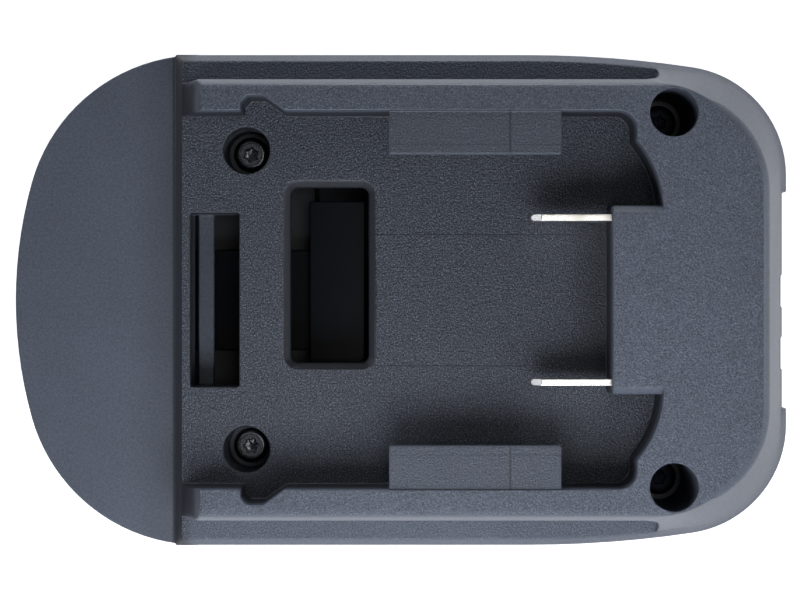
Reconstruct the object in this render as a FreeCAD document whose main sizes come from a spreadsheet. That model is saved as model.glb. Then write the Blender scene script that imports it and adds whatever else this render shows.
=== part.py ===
import FreeCAD, Part
import math
import os
import re
import Sketcher
from FreeCAD import Vector

# A slide-on battery adapter, in millimetres. +Z is up, the side that takes the battery.
# The terminal end is at +X and the rounded nose at -X. The origin lies under the middle
# of the body, on the face that the adapter rests on.

SIZES = {
    # body seen from above
    "body_length": 119.5,
    "body_width": 76.0,
    "nose_front_radius": 68.0,
    "nose_corner_radius": 27.0,
    "taper_length": 39.75,
    "taper_radius": 170.0,
    "end_corner_radius": 17.0,
    # heights, stacked from the resting face upwards
    "block_height": 13.5,
    "tub_height": 16.5,
    "skin_thickness": 2.0,
    "deck_step": 1.5,
    "pocket_depth": 10.5,
    # raised block of the battery side
    "nose_length": 24.75,
    "front_step_run": 1.2,
    "rail_ramp_run": 3.6,
    "rim_chamfer": 1.1,
    "end_bevel_run": 4.55,
    "flat_margin": 21.7,
    "plateau_corner_radius": 15.0,
    "plateau_corner_turn": 61.0,
    "plateau_bend_radius": 12.0,
    "plateau_fan_turn": 5.0,
    "rail_margin": 5.6,
    "edge_slope_run": 1.1,
    "edge_slope_drop": 0.35,
    # side channels
    "channel_width": 4.7,
    "channel_setback": 20.25,
    "channel_tip_margin": 3.1,
    "channel_fade_length": 22.0,
    "channel_round": 1.4,
    # battery pocket
    "rail_width": 4.0,
    "pocket_setback": 24.35,
    "pocket_corner_radius": 2.7,
    "pocket_step": 4.4,
    "pocket_bay_radius": 16.3,
    "pocket_bay_setback": 20.4,
    "terminal_setback": 27.95,
    "terminal_margin": 1.75,
    "terminal_chamfer": 1.1,
    "notch_distance": 10.9,
    "notch_length": 6.6,
    "notch_flat": 3.4,
    "notch_depth": 2.3,
    "tab_distance": 33.2,
    "tab_length": 25.9,
    "tab_reach": 6.5,
    "tab_thickness": 2.6,
    "tab_drop": 0.35,
    # latch slot and window
    "slot_distance": 2.5,
    "slot_width": 7.5,
    "slot_half": 13.4,
    "slot_bar_offset": 0.6,
    "slot_bar_width": 2.5,
    "slot_bar_depth": 7.5,
    "slot_bar_thickness": 1.4,
    "slot_wall": 1.2,
    "window_distance": 18.0,
    "window_width": 12.0,
    "window_length": 27.0,
    "window_offset": 3.85,
    "window_radius": 1.2,
    "window_chamfer": 1.1,
    # walls
    "wall": 2.2,
    "floor_thickness": 2.0,
    "roof_thickness": 2.0,
    "tongue_thickness": 1.2,
    "tongue_depth": 1.5,
    "fit_gap": 0.2,
    "motion_gap": 0.5,
    # shell screws
    "front_screw_distance": 11.2,
    "front_screw_margin": 5.3,
    "rear_screw_setback": 18.75,
    "rear_screw_margin": 9.85,
    "front_well_diameter": 7.1,
    "rear_well_diameter": 7.3,
    "well_wall": 1.6,
    "screw_seat_depth": 11.7,
    "screw_seat_thickness": 2.0,
    "screw_diameter": 3.0,
    "screw_length": 7.0,
    "screw_head_diameter": 5.6,
    "screw_head_height": 2.0,
    "drive_width": 2.6,
    "drive_depth": 1.2,
    "boss_diameter": 7.5,
    # slide block of the tool side
    "slide_distance": 19.0,
    "slide_setback": 1.15,
    "slide_margin": 13.0,
    "slide_corner_radius": 3.0,
    "slide_floor": 2.0,
    "rail_reach": 3.2,
    "rail_low": 3.0,
    "rail_height": 4.0,
    "rail_distance": 6.0,
    "rail_setback": 8.6,
    "rail_lead": 4.0,
    "terminal_slot_length": 24.6,
    "terminal_slot_width": 5.0,
    "terminal_slot_roof": 0.4,
    "terminal_slot_margin": 9.25,
    # nose bay and button
    "bay_half": 15.0,
    "bay_depth": 6.25,
    "bay_wall": 2.0,
    "button_gap": 0.5,
    "button_height": 8.7,
    "button_recess": 0.4,
    "button_skirt": 1.6,
    "grip_count": 3,
    "grip_pitch": 2.2,
    "grip_depth": 0.7,
    "button_screw_inset": 2.0,
    "button_screw_y": 5.0,
    "button_screw_diameter": 2.0,
    "button_screw_length": 5.5,
    "button_screw_head": 3.2,
    # release latch
    "latch_travel": 4.8,
    "latch_lift": 0.6,
    "latch_plate": 3.0,
    "latch_tongue_half": 8.0,
    "ear_distance": 21.25,
    "ear_y": 16.5,
    "ear_radius": 4.0,
    "post_diameter": 3.0,
    "post_clearance": 0.1,
    "hook_distance": 7.0,
    "hook_length": 6.0,
    "hook_half": 7.0,
    "hook_reach": 4.5,
    "hook_tip_length": 2.0,
    "latch_hole_margin": 1.0,
    "tail_inset": 2.6,
    "tail_length": 8.7,
    "tail_half": 15.6,
    "tail_height": 8.7,
    # return springs
    "spring_wire": 0.6,
    "spring_diameter": 6.4,
    "spring_turns": 6,
    "spring_seat_gap": 0.3,
    "spigot_diameter": 3.8,
    "spigot_height": 1.5,
    # battery blades and their carrier
    "blade_spacing": 24.9,
    "blade_thickness": 1.0,
    "blade_height": 6.0,
    "blade_drop": 2.4,
    "blade_reach": 12.1,
    "blade_tip_bevel": 1.5,
    "blade_tail_length": 14.7,
    "blade_tab_width": 3.0,
    "blade_tab_rise": 0.5,
    "carrier_side_gap": 0.1,
    "carrier_length": 6.7,
    "carrier_floor": 1.2,
    "carrier_boss_height": 2.0,
    "carrier_screw_y": 5.5,
    "carrier_screw_distance": 3.4,
    "small_screw_diameter": 2.5,
    "small_screw_head": 4.4,
    "small_screw_head_height": 1.6,
    "chamber_wall": 1.0,
    "terminal_depth": 9.8,
    "end_wall": 7.15,
    "well_margin": 3.5,
    # tool clips and their carrier
    "clip_setback": 2.0,
    "clip_length": 18.0,
    "clip_thickness": 0.8,
    "clip_gap": 1.4,
    "clip_mouth_gap": 2.0,
    "clip_low": 3.0,
    "clip_height": 6.4,
    "clip_tail_width": 3.0,
    "clip_tail_rise": 1.8,
    "clip_tail_distance": 3.0,
    "clip_plate_thickness": 2.8,
    "clip_plate_gap": 0.3,
    "clip_wall": 1.0,
    "clip_carrier_gap": 0.4,
    "clip_screw_distance": 10.0,
    "clip_screw_margin": 9.75,
    # leads and sleeves
    "lead_diameter": 2.8,
    "lead_lower_run": 4.5,
    "lead_upper_run": 4.0,
    "sleeve_bore": 3.5,
    "sleeve_wall": 0.5,
    "sleeve_length": 5.0,
    # end panel
    "panel_recess_half": 16.7,
    "panel_recess": 0.85,
    "panel_half": 13.3,
    "panel_proud": 0.3,
    "panel_low": 17.0,
    "panel_flange": 2.4,
    "panel_flange_thickness": 1.5,
    "panel_snap_width": 4.7,
    "panel_snap_depth": 0.6,
    "panel_snap_first": 1.4,
    "panel_snap_second": -8.2,
}

# Levels and places that follow from the sizes above.
DERIVED = {
    "half_length": "body_length / 2",
    "half_width": "body_width / 2",
    "seam": "block_height + tub_height",
    "nose_top": "seam + skin_thickness",
    "deck": "nose_top + deck_step",
    "plateau": "deck + pocket_depth",
    "crease": "plateau - edge_slope_drop",
    "tub_floor": "block_height + wall",
    "deck_under": "deck - floor_thickness",
    "roof_under": "plateau - roof_thickness",
    "screw_seat": "deck - screw_seat_depth",
    "boss_top": "screw_seat - screw_seat_thickness",
    "plateau_end": "half_length - end_bevel_run",
    "plateau_front": "block_front + front_step_run + rail_ramp_run",
    "pilot_diameter": "screw_diameter + 0.1",
    "clearance_hole": "screw_diameter + 0.4",
    "blade_y": "blade_spacing / 2",
    "blade_top": "plateau - blade_drop",
    "blade_low": "blade_top - blade_height",
    "latch_low": "tub_floor + latch_lift",
    "latch_top": "latch_low + latch_plate",
    "bay_back": "bay_depth - half_length",
    "button_screw_x": "bay_back - button_screw_inset",
    "ear_hole": "post_diameter + 2 * post_clearance",
    "carrier_top": "roof_under - carrier_boss_height",
    "panel_face": "half_length - panel_recess + panel_proud",
    "end_face": "half_length - panel_recess",
    "wall_inside": "half_length - wall",
    "panel_top": "seam - fit_gap",
    "taper_start": "half_length - taper_length",
    "block_front": "nose_length - half_length",
    "flat_half": "half_width - flat_margin",
    "ridge_half": "half_width - rail_margin",
    "channel_inner": "half_width - channel_width",
    "channel_end": "half_length - channel_setback",
    "channel_tip_half": "half_width - channel_tip_margin",
    "pocket_half": "ridge_half - rail_width",
    "pocket_front_x": "half_length - pocket_setback",
    "pocket_bay_start": "pocket_half - pocket_step",
    "pocket_end": "half_length - pocket_bay_setback",
    "terminal_face": "half_length - terminal_setback",
    "terminal_half": "blade_y + terminal_margin",
    "notch_start": "block_front + notch_distance",
    "tab_start": "block_front + tab_distance",
    "tab_gap_half": "pocket_half - tab_reach",
    "slot_start": "block_front + slot_distance",
    "window_start": "block_front + window_distance",
    "front_screw_x": "block_front + front_screw_distance",
    "front_screw_y": "pocket_half - front_screw_margin",
    "rear_screw_x": "half_length - rear_screw_setback",
    "rear_screw_y": "half_width - rear_screw_margin",
    "slide_start": "block_front + slide_distance",
    "slide_end": "half_length - slide_setback",
    "slide_half": "half_width - slide_margin",
    "slot_y": "slide_half - terminal_slot_margin",
    "clip_y": "slot_y",
    "clip_screw_y": "slot_y - clip_screw_margin",
    "rail_start": "slide_start + rail_distance",
    "terminal_slot_start": "slide_end - terminal_slot_length",
    "terminal_slot_height": "clip_plate_low - terminal_slot_roof",
    "ear_x": "ear_distance - half_length",
    "hook_start": "block_front + hook_distance",
    "tail_start": "window_start + tail_inset",
    "tail_top": "latch_low + tail_height",
    "clip_start": "terminal_slot_start + clip_setback",
    "clip_tail_x": "clip_start + clip_tail_distance",
    "clip_tail_top": "tub_floor + clip_tail_rise",
    "clip_plate_low": "clip_plate_high - clip_plate_thickness",
    "clip_plate_high": "block_height - clip_plate_gap",
    "clip_carrier_half": "slide_half - wall - clip_carrier_gap",
    "clip_screw_x": "clip_start + clip_screw_distance",
    "rear_chamber_start": "terminal_face + terminal_depth",
    "rear_chamber_end": "half_length - end_wall",
    "rear_chamber_half": "rear_screw_y - rear_well_diameter / 2 - well_margin",
    "chamber_half": "terminal_half - chamber_wall",
    "carrier_half": "chamber_half - carrier_side_gap",
    "carrier_end": "carrier_start + carrier_length",
    "carrier_bottom": "blade_low - carrier_floor",
    "carrier_screw_x": "carrier_start + carrier_screw_distance",
    "blade_tail_end": "terminal_face + blade_tail_length",
    "blade_tab_bottom": "seam + blade_tab_rise",
    "clip_carrier_end": "slide_end - wall - fit_gap",
    "carrier_start": "terminal_face + wall + fit_gap",
    "rail_end": "slide_end - rail_setback",
}

doc = FreeCAD.newDocument("battery_adapter")
sheet = doc.addObject("Spreadsheet::Sheet", "Sizes")
for row, (alias, amount) in enumerate(SIZES.items(), start=1):
    sheet.set(f"A{row}", alias)
    sheet.set(f"B{row}", str(amount))
    sheet.setAlias(f"B{row}", alias)
doc.recompute()

SUB_PARTS = []
WEAK_CUTS = []


def bind(text):
    """Spells out an expression in terms of the sheet's own cells."""
    def spell(match):
        word = match.group(0)
        if word in DERIVED:
            return "(" + bind(DERIVED[word]) + ")"
        if word in SIZES:
            return "Sizes." + word
        return word
    return re.sub(r"[A-Za-z_][A-Za-z_0-9]*", spell, str(text))


def value(text):
    """The amount that an expression has now."""
    return float(sheet.evalExpression(bind(text)))


def line_to(x, y):
    """A corner that a straight side leaves."""
    return (x, y, None, 0)


def arc_to(x, y, radius, turn=1):
    """A corner that an arc leaves; turn is 1 for a left-hand arc and -1 for a right-hand one."""
    return (x, y, radius, turn)


def rectangle(x_low, x_high, y_low, y_high):
    return [line_to(x_low, y_low), line_to(x_high, y_low), line_to(x_high, y_high), line_to(x_low, y_high)]


def arc_centre(start, end, radius, turn):
    """Centre of the shorter arc from start to end."""
    middle = (start + end) * 0.5
    chord = end - start
    height = math.sqrt(max(radius ** 2 - (chord.Length / 2) ** 2, 0.0))
    side = Vector(-chord.y, chord.x, 0).normalize()
    return middle + side * (height * turn)


def draw_outline(sketch, corners):
    """Draws a closed outline whose corners and radii are bound to the sheet."""
    points = [Vector(value(x), value(y), 0) for x, y, radius, turn in corners]
    first = len(sketch.Geometry)
    count = len(corners)
    for index, (x, y, radius, turn) in enumerate(corners):
        start = points[index]
        end = points[(index + 1) % count]
        if radius is None:
            sketch.addGeometry(Part.LineSegment(start, end), False)
            continue
        centre = arc_centre(start, end, value(radius), turn)
        angles = [math.atan2(p.y - centre.y, p.x - centre.x) for p in (start, end)]
        if turn < 0:
            angles.reverse()
        circle = Part.Circle(centre, Vector(0, 0, 1), value(radius))
        sketch.addGeometry(Part.ArcOfCircle(circle, angles[0], angles[1]), False)
    ends = [(1, 2) if turn >= 0 else (2, 1) for x, y, radius, turn in corners]
    for index, (x, y, radius, turn) in enumerate(corners):
        here = first + index
        after = first + (index + 1) % count
        following = ends[(index + 1) % count]
        sketch.addConstraint(Sketcher.Constraint("Coincident", here, ends[index][1], after, following[0]))
        for kind, text in (("DistanceX", x), ("DistanceY", y)):
            place = Sketcher.Constraint(kind, -1, 1, here, ends[index][0], value(text))
            number = sketch.addConstraint(place)
            sketch.setExpression(f"Constraints[{number}]", bind(text))
        if radius is not None:
            number = sketch.addConstraint(Sketcher.Constraint("Radius", here, value(radius)))
            sketch.setExpression(f"Constraints[{number}]", bind(radius))


def draw_circle(sketch, x, y, diameter):
    """Draws a circle whose centre and size are bound to the sheet."""
    here = len(sketch.Geometry)
    centre = Vector(value(x), value(y), 0)
    sketch.addGeometry(Part.Circle(centre, Vector(0, 0, 1), value(diameter) / 2), False)
    number = sketch.addConstraint(Sketcher.Constraint("Diameter", here, value(diameter)))
    sketch.setExpression(f"Constraints[{number}]", bind(diameter))
    for kind, text in (("DistanceX", x), ("DistanceY", y)):
        number = sketch.addConstraint(Sketcher.Constraint(kind, -1, 1, here, 3, value(text)))
        sketch.setExpression(f"Constraints[{number}]", bind(text))


def new_body(label):
    body = doc.addObject("PartDesign::Body", label)
    body.Label = label
    SUB_PARTS.append(body)
    return body


def sketch_on(body, name, plane, level):
    """An empty sketch on one of the body's own planes, moved along that plane's axis."""
    role = {"XY": "XY_Plane", "XZ": "XZ_Plane", "YZ": "YZ_Plane"}[plane]
    base = [feature for feature in body.Origin.OriginFeatures if feature.Role == role][0]
    sketch = body.newObject("Sketcher::SketchObject", name + "Sketch")
    sketch.AttachmentSupport = [(base, "")]
    sketch.MapMode = "FlatFace"
    sign = -1 if plane == "XZ" else 1
    sketch.setExpression("AttachmentOffset.Base.z", bind(f"{sign} * ({level})"))
    return sketch


def draw_shapes(sketch, shapes):
    """Draws outlines, and circles given as (x, y, diameter)."""
    for shape in shapes:
        if isinstance(shape, tuple):
            draw_circle(sketch, *shape)
        else:
            draw_outline(sketch, shape)


def settle(body, feature):
    """Recomputes and notes a feature that leaves the solid's volume as it was."""
    before = body.Tip.Shape.Volume if body.Tip is not None and body.Tip is not feature else 0.0
    base = getattr(feature, "BaseFeature", None)
    if base is not None:
        before = base.Shape.Volume
    doc.recompute()
    if abs(feature.Shape.Volume - before) < 1e-4:
        WEAK_CUTS.append(f"{body.Label}.{feature.Label}")
    return feature


def add(body, name, shapes, low, high, plane="XY"):
    """Adds a pad of the shapes between two levels along the plane's axis."""
    sketch = sketch_on(body, name, plane, high if plane == "XZ" else low)
    draw_shapes(sketch, shapes)
    pad = body.newObject("PartDesign::Pad", name)
    pad.Profile = sketch
    pad.setExpression("Length", bind(f"({high}) - ({low})"))
    return settle(body, pad)


def cut(body, name, shapes, low, high, plane="XY"):
    """Cuts a pocket of the shapes between two levels along the plane's axis."""
    sketch = sketch_on(body, name, plane, low if plane == "XZ" else high)
    draw_shapes(sketch, shapes)
    pocket = body.newObject("PartDesign::Pocket", name)
    pocket.Profile = sketch
    pocket.setExpression("Length", bind(f"({high}) - ({low})"))
    return settle(body, pocket)


def loft(body, name, sections, kind="PartDesign::AdditiveLoft"):
    """Lofts straight between outlines given as (outline, level)."""
    sketches = []
    for number, (outline, level) in enumerate(sections):
        sketch = sketch_on(body, f"{name}{number}", "XY", level)
        draw_outline(sketch, outline)
        sketches.append(sketch)
    doc.recompute()
    feature = body.newObject(kind, name)
    feature.Profile = sketches[0]
    feature.Sections = sketches[1:]
    feature.Ruled = True
    return settle(body, feature)


def edges_where(shape, test):
    """Names of the shape's edges that pass the test."""
    return [f"Edge{number}" for number, edge in enumerate(shape.Edges, start=1) if test(edge)]


def close(a, b, reach=0.02):
    return abs(a - b) < reach


def dress(body, name, kind, size, test):
    """Rounds (Fillet) or bevels (Chamfer) the tip's edges that pass the test."""
    base = body.Tip
    names = edges_where(base.Shape, test)
    feature = body.newObject("PartDesign::" + kind, name)
    feature.Base = (base, names)
    feature.setExpression("Radius" if kind == "Fillet" else "Size", bind(size))
    return settle(body, feature)


def mirrored(outline):
    """The same outline on the other side of the X axis, still running counter-clockwise."""
    turned = []
    count = len(outline)
    for index in range(count):
        x, y, radius, turn = outline[(count - index) % count]
        before = outline[(count - index - 1) % count]
        turned.append((x, f"-({y})", before[2], before[3]))
    return turned


def both_sides(outline):
    return [outline, mirrored(outline)]


def circle_pair(x, y, diameter):
    return [(x, y, diameter), (x, f"-({y})", diameter)]


# outlines of the body

def end_side(inset):
    """The upper half of the terminal end's outline, from the straight end to the taper's start."""
    corner = f"(end_corner_radius - ({inset}))"
    centre_x = "(half_length - end_corner_radius)"
    taper_y = "(half_width - taper_radius)"
    reach = "(taper_radius - end_corner_radius)"
    centre_y = f"({taper_y} + sqrt({reach} ^ 2 - ({centre_x} - taper_start) ^ 2))"
    join_x = f"({centre_x} + {corner} * ({centre_x} - taper_start) / {reach})"
    join_y = f"({centre_y} + {corner} * ({centre_y} - {taper_y}) / {reach})"
    return [
        arc_to(f"half_length - ({inset})", centre_y, corner),
        arc_to(join_x, join_y, f"taper_radius - ({inset})"),
        line_to("taper_start", f"half_width - ({inset})"),
    ]


def nose_side(inset):
    """The upper half of the nose's outline, from the straight side to the front arc."""
    centre_x = "(nose_front_radius - half_length)"
    reach = "(nose_front_radius - nose_corner_radius)"
    rise = "(half_width - nose_corner_radius)"
    corner_x = f"({centre_x} - sqrt({reach} ^ 2 - {rise} ^ 2))"
    front = f"(nose_front_radius - ({inset}))"
    return [
        arc_to(corner_x, f"half_width - ({inset})", f"nose_corner_radius - ({inset})"),
        arc_to(f"{centre_x} + {front} * ({corner_x} - {centre_x}) / {reach}",
               f"{front} * {rise} / {reach}", front),
    ]


def lower_half(upper):
    """The mirror of an upper half in running order, joined to its first corner by a straight side."""
    lower = []
    for index in range(len(upper) - 1, 0, -1):
        x, y = upper[index][:2]
        radius, turn = upper[index - 1][2:]
        lower.append((x, f"-({y})", radius, turn))
    return lower + [line_to(upper[0][0], f"-({upper[0][1]})")]


def body_outline(inset="0"):
    """The whole outline of the body, moved inwards by the inset."""
    upper = end_side(inset) + nose_side(inset)
    return upper + lower_half(upper)


def block_outline(inset="0", front="block_front"):
    """The terminal end's outline, closed by a straight front."""
    upper = end_side(inset)
    centre_y, corner = upper[0][1:3]
    fan = []
    for turn in ("(plateau_corner_turn * 1 deg)", "((plateau_corner_turn + plateau_fan_turn) * 1 deg)"):
        fan.append(arc_to(f"(half_length - end_corner_radius + {corner} * cos{turn})",
                          f"({centre_y} + {corner} * sin{turn})", corner))
    upper = upper[:1] + fan + upper[1:]
    front_corners = [line_to(front, f"half_width - ({inset})"), line_to(front, f"({inset}) - half_width")]
    return upper + front_corners + lower_half(upper)


def plateau_outline(inset="0", front="plateau_front"):
    """The outline of the plateau's top, moved inwards by the inset."""
    radius = f"(plateau_corner_radius - ({inset}))"
    turn = "(plateau_corner_turn * 1 deg)"
    centre_x = "(plateau_end - plateau_corner_radius)"
    bend_x = f"({centre_x} + {radius} * cos{turn})"
    bend_y = f"(flat_half + {radius} * sin{turn})"
    ridge = f"(ridge_half - ({inset}))"
    meet_x = f"({bend_x} - ({ridge} - {bend_y}) * tan{turn})"
    bend = f"(plateau_bend_radius - ({inset}))"
    tangent = f"({bend} * tan((90 - plateau_corner_turn) / 2 * 1 deg))"
    share = "((half_length - end_corner_radius - taper_start) / (taper_radius - end_corner_radius))"
    upper = [
        arc_to(f"plateau_end - ({inset})", "flat_half", radius),
        line_to(bend_x, bend_y),
        arc_to(f"({meet_x} + {tangent} * sin{turn})", f"({ridge} - {tangent} * cos{turn})", bend),
        arc_to(f"({meet_x} - {tangent} + {bend} * {share})",
               f"({ridge} - {bend} + {bend} * sqrt(1 - {share} ^ 2))", bend),
        line_to(f"({meet_x} - {tangent})", ridge),
    ]
    return upper + [line_to(front, ridge), line_to(front, f"-{ridge}")] + lower_half(upper)


def pocket_outline():
    """The battery pocket seen from above, open at the front, with notches and the terminal block."""
    front = "block_front - 2"
    notch_far = "notch_start + notch_length"
    deep = "pocket_half + notch_depth"
    corner_y = "pocket_half - pocket_corner_radius"
    upper = [
        line_to("terminal_face", "terminal_half"),
        arc_to("pocket_end", "terminal_half", "pocket_bay_radius"),
        line_to("pocket_front_x", "pocket_bay_start"),
        arc_to("pocket_front_x", corner_y, "pocket_corner_radius"),
        line_to("pocket_front_x - pocket_corner_radius", "pocket_half"),
        line_to(notch_far, "pocket_half"),
        line_to("notch_start + notch_flat", deep),
        line_to("notch_start + 1.0", deep),
        line_to("notch_start", f"{deep} - 1.0"),
        line_to("notch_start", "pocket_half"),
        line_to(front, "pocket_half"),
    ]
    return upper + lower_half(upper)


def channel_outline():
    """One side channel's plan: straight along the rail, fading inwards to a rounded end."""
    outside = "half_width + 1"
    tip_low = "channel_tip_half - channel_round"
    tip_high = "channel_tip_half + channel_round"
    return [
        line_to("block_front - 1", "channel_inner"),
        line_to("channel_end - 2.6", "channel_inner"),
        arc_to("channel_end - channel_round", tip_low, "channel_round"),
        arc_to("channel_end", "channel_tip_half", "channel_round"),
        line_to("channel_end - channel_round", tip_high),
        line_to("channel_end - channel_fade_length", outside),
        line_to("block_front - 1", outside),
    ]


def battery_side_shell():
    """The upper moulding: nose skin, deck, rails, pocket, terminal block, wells and slot."""
    body = new_body("battery_side_shell")
    step_front = "block_front + front_step_run"
    add(body, "RimPlate", [body_outline()], "seam", "nose_top")
    loft(body, "DeckPlate", [(block_outline(), "nose_top"), (block_outline("rim_chamfer", step_front), "deck")])
    loft(body, "RaisedBlock", [(block_outline("rim_chamfer", step_front), "deck"), (plateau_outline(), "crease")])
    loft(body, "PlateauEdge", [(plateau_outline(), "crease"), (plateau_outline("edge_slope_run"), "plateau")])
    cut(body, "Pocket", [pocket_outline()], "deck", "plateau + 1")
    cut(body, "Channels", both_sides(channel_outline()), "deck", "plateau + 1")
    tab = rectangle("tab_start", "tab_start + tab_length", "tab_gap_half", "pocket_half + 1")
    add(body, "Tabs", both_sides(tab), "plateau - tab_drop - tab_thickness", "plateau - tab_drop")
    dress(body, "TerminalBevel", "Chamfer", "terminal_chamfer", is_terminal_top)

    # hollow underside
    cut(body, "UnderDeck", [block_outline("wall + tongue_thickness", "block_front + 3")], "seam - 1", "deck_under")
    rear = rectangle("rear_chamber_start", "rear_chamber_end", "-rear_chamber_half", "rear_chamber_half")
    cut(body, "RearChamber", [rear], "seam", "roof_under")
    chamber = rectangle("terminal_face + wall", "rear_chamber_start + 0.5", "-chamber_half", "chamber_half")
    cut(body, "TerminalChamber", [chamber], "seam", "roof_under")

    # tongue that sits inside the lower moulding's wall
    ring = [body_outline("wall + fit_gap"), body_outline("wall + fit_gap + tongue_thickness")]
    add(body, "Tongue", ring, "seam - tongue_depth", "seam")
    openings = [rectangle("-half_length", "bay_back + bay_wall + 1", "-(bay_half + bay_wall + 1)",
                          "bay_half + bay_wall + 1"),
                rectangle("wall_inside - panel_flange_thickness - 3", "half_length",
                          "-(panel_recess_half + 2)", "panel_recess_half + 2")]
    cut(body, "TongueGaps", openings, "seam - tongue_depth - 1", "seam")

    # screw wells
    front_tube = circle_pair("front_screw_x", "front_screw_y", "front_well_diameter + 2 * well_wall")
    rear_tube = circle_pair("rear_screw_x", "rear_screw_y", "rear_well_diameter + 2 * well_wall")
    add(body, "WellTubes", front_tube + rear_tube, "boss_top", "nose_top")
    cut(body, "FrontWells", circle_pair("front_screw_x", "front_screw_y", "front_well_diameter"),
        "screw_seat", "deck + 1")
    cut(body, "RearWells", circle_pair("rear_screw_x", "rear_screw_y", "rear_well_diameter"),
        "screw_seat", "plateau + 1")
    holes = circle_pair("front_screw_x", "front_screw_y", "clearance_hole")
    holes += circle_pair("rear_screw_x", "rear_screw_y", "clearance_hole")
    cut(body, "ScrewHoles", holes, "boss_top - 1", "screw_seat")

    # latch slot with its chute and bar
    slot_end = "slot_start + slot_width"
    around = rectangle("slot_start - slot_wall", f"{slot_end} + slot_wall", "-(slot_half + slot_wall)",
                       "slot_half + slot_wall")
    bar_top = "deck - slot_bar_depth"
    add(body, "Chute", [around], f"{bar_top} - slot_bar_thickness", "deck_under")
    slot = rectangle("slot_start", slot_end, "-slot_half", "slot_half")
    cut(body, "LatchSlot", [slot], f"{bar_top} - slot_bar_thickness - 1", "deck + 1")
    bar_start = "slot_start + slot_bar_offset"
    bar = rectangle(bar_start, f"{bar_start} + slot_bar_width", "-(slot_half + slot_wall / 2)",
                    "slot_half + slot_wall / 2")
    add(body, "SlotBar", [bar], f"{bar_top} - slot_bar_thickness", bar_top)

    # window
    low_y = "window_offset - window_length / 2"
    high_y = "window_offset + window_length / 2"
    window = rectangle("window_start", "window_start + window_width", low_y, high_y)
    cut(body, "Window", [window], "seam", "deck + 1")
    dress(body, "WindowCorners", "Fillet", "window_radius", is_window_corner)
    dress(body, "WindowRim", "Chamfer", "window_chamfer", is_window_top)

    # seats for the return springs
    add(body, "SpringSpigots", circle_pair("ear_x", "ear_y", "spigot_diameter"), "seam - spigot_height", "seam")

    # openings for the blades and bosses for their carrier
    slit = rectangle("terminal_face - 1", "terminal_face + wall + 1",
                     "blade_y - blade_thickness / 2 - 0.05", "blade_y + blade_thickness / 2 + 0.05")
    cut(body, "BladeSlits", both_sides(slit), "blade_low - 0.05", "blade_top + 0.05")
    bosses = circle_pair("carrier_screw_x", "carrier_screw_y", "small_screw_diameter + 2.6")
    add(body, "CarrierBosses", bosses, "carrier_top", "roof_under")
    pilots = circle_pair("carrier_screw_x", "carrier_screw_y", "small_screw_diameter + 0.1")
    cut(body, "CarrierPilots", pilots, "carrier_top - 0.5", "roof_under + roof_thickness / 2")

    # recess and snap windows of the terminal end
    recess = rectangle("end_face", "half_length + 1", "-panel_recess_half", "panel_recess_half")
    cut(body, "EndRecess", [recess], "seam", "plateau")
    snaps = [rectangle("end_face - panel_snap_depth", "half_length + 1", f"{middle} - panel_snap_width / 2",
                       f"{middle} + panel_snap_width / 2")
             for middle in ("panel_snap_first", "panel_snap_second")]
    cut(body, "SnapWindows", snaps, "nose_top", "nose_top + 2.6")
    return body


def is_terminal_top(edge):
    """The two long top edges of the terminal block."""
    box = edge.BoundBox
    level = close(box.ZMin, value("plateau")) and close(box.ZMax, value("plateau"))
    side = close(abs(box.YMin), value("terminal_half")) and close(box.YMin, box.YMax)
    return level and side and box.XMin > value("terminal_face") - 0.1 and box.XMax < value("pocket_end") + 0.1


def is_window_corner(edge):
    """The upright edges in the window's corners."""
    box = edge.BoundBox
    at_x = close(box.XMin, value("window_start")) or close(box.XMin, value("window_start + window_width"))
    low_y = value("window_offset - window_length / 2")
    high_y = value("window_offset + window_length / 2")
    at_y = close(box.YMin, low_y) or close(box.YMin, high_y)
    upright = box.ZLength > 0.5 and box.XLength < 0.01 and box.YLength < 0.01
    return upright and at_x and at_y


def is_window_top(edge):
    """The window's edges on the deck."""
    box = edge.BoundBox
    margin = 0.05
    inside_x = box.XMin > value("window_start") - margin and box.XMax < value("window_start + window_width") + margin
    low_y = value("window_offset - window_length / 2")
    high_y = value("window_offset + window_length / 2")
    inside_y = box.YMin > low_y - margin and box.YMax < high_y + margin
    level = close(box.ZMin, value("deck")) and close(box.ZMax, value("deck"))
    return level and inside_x and inside_y


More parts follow.
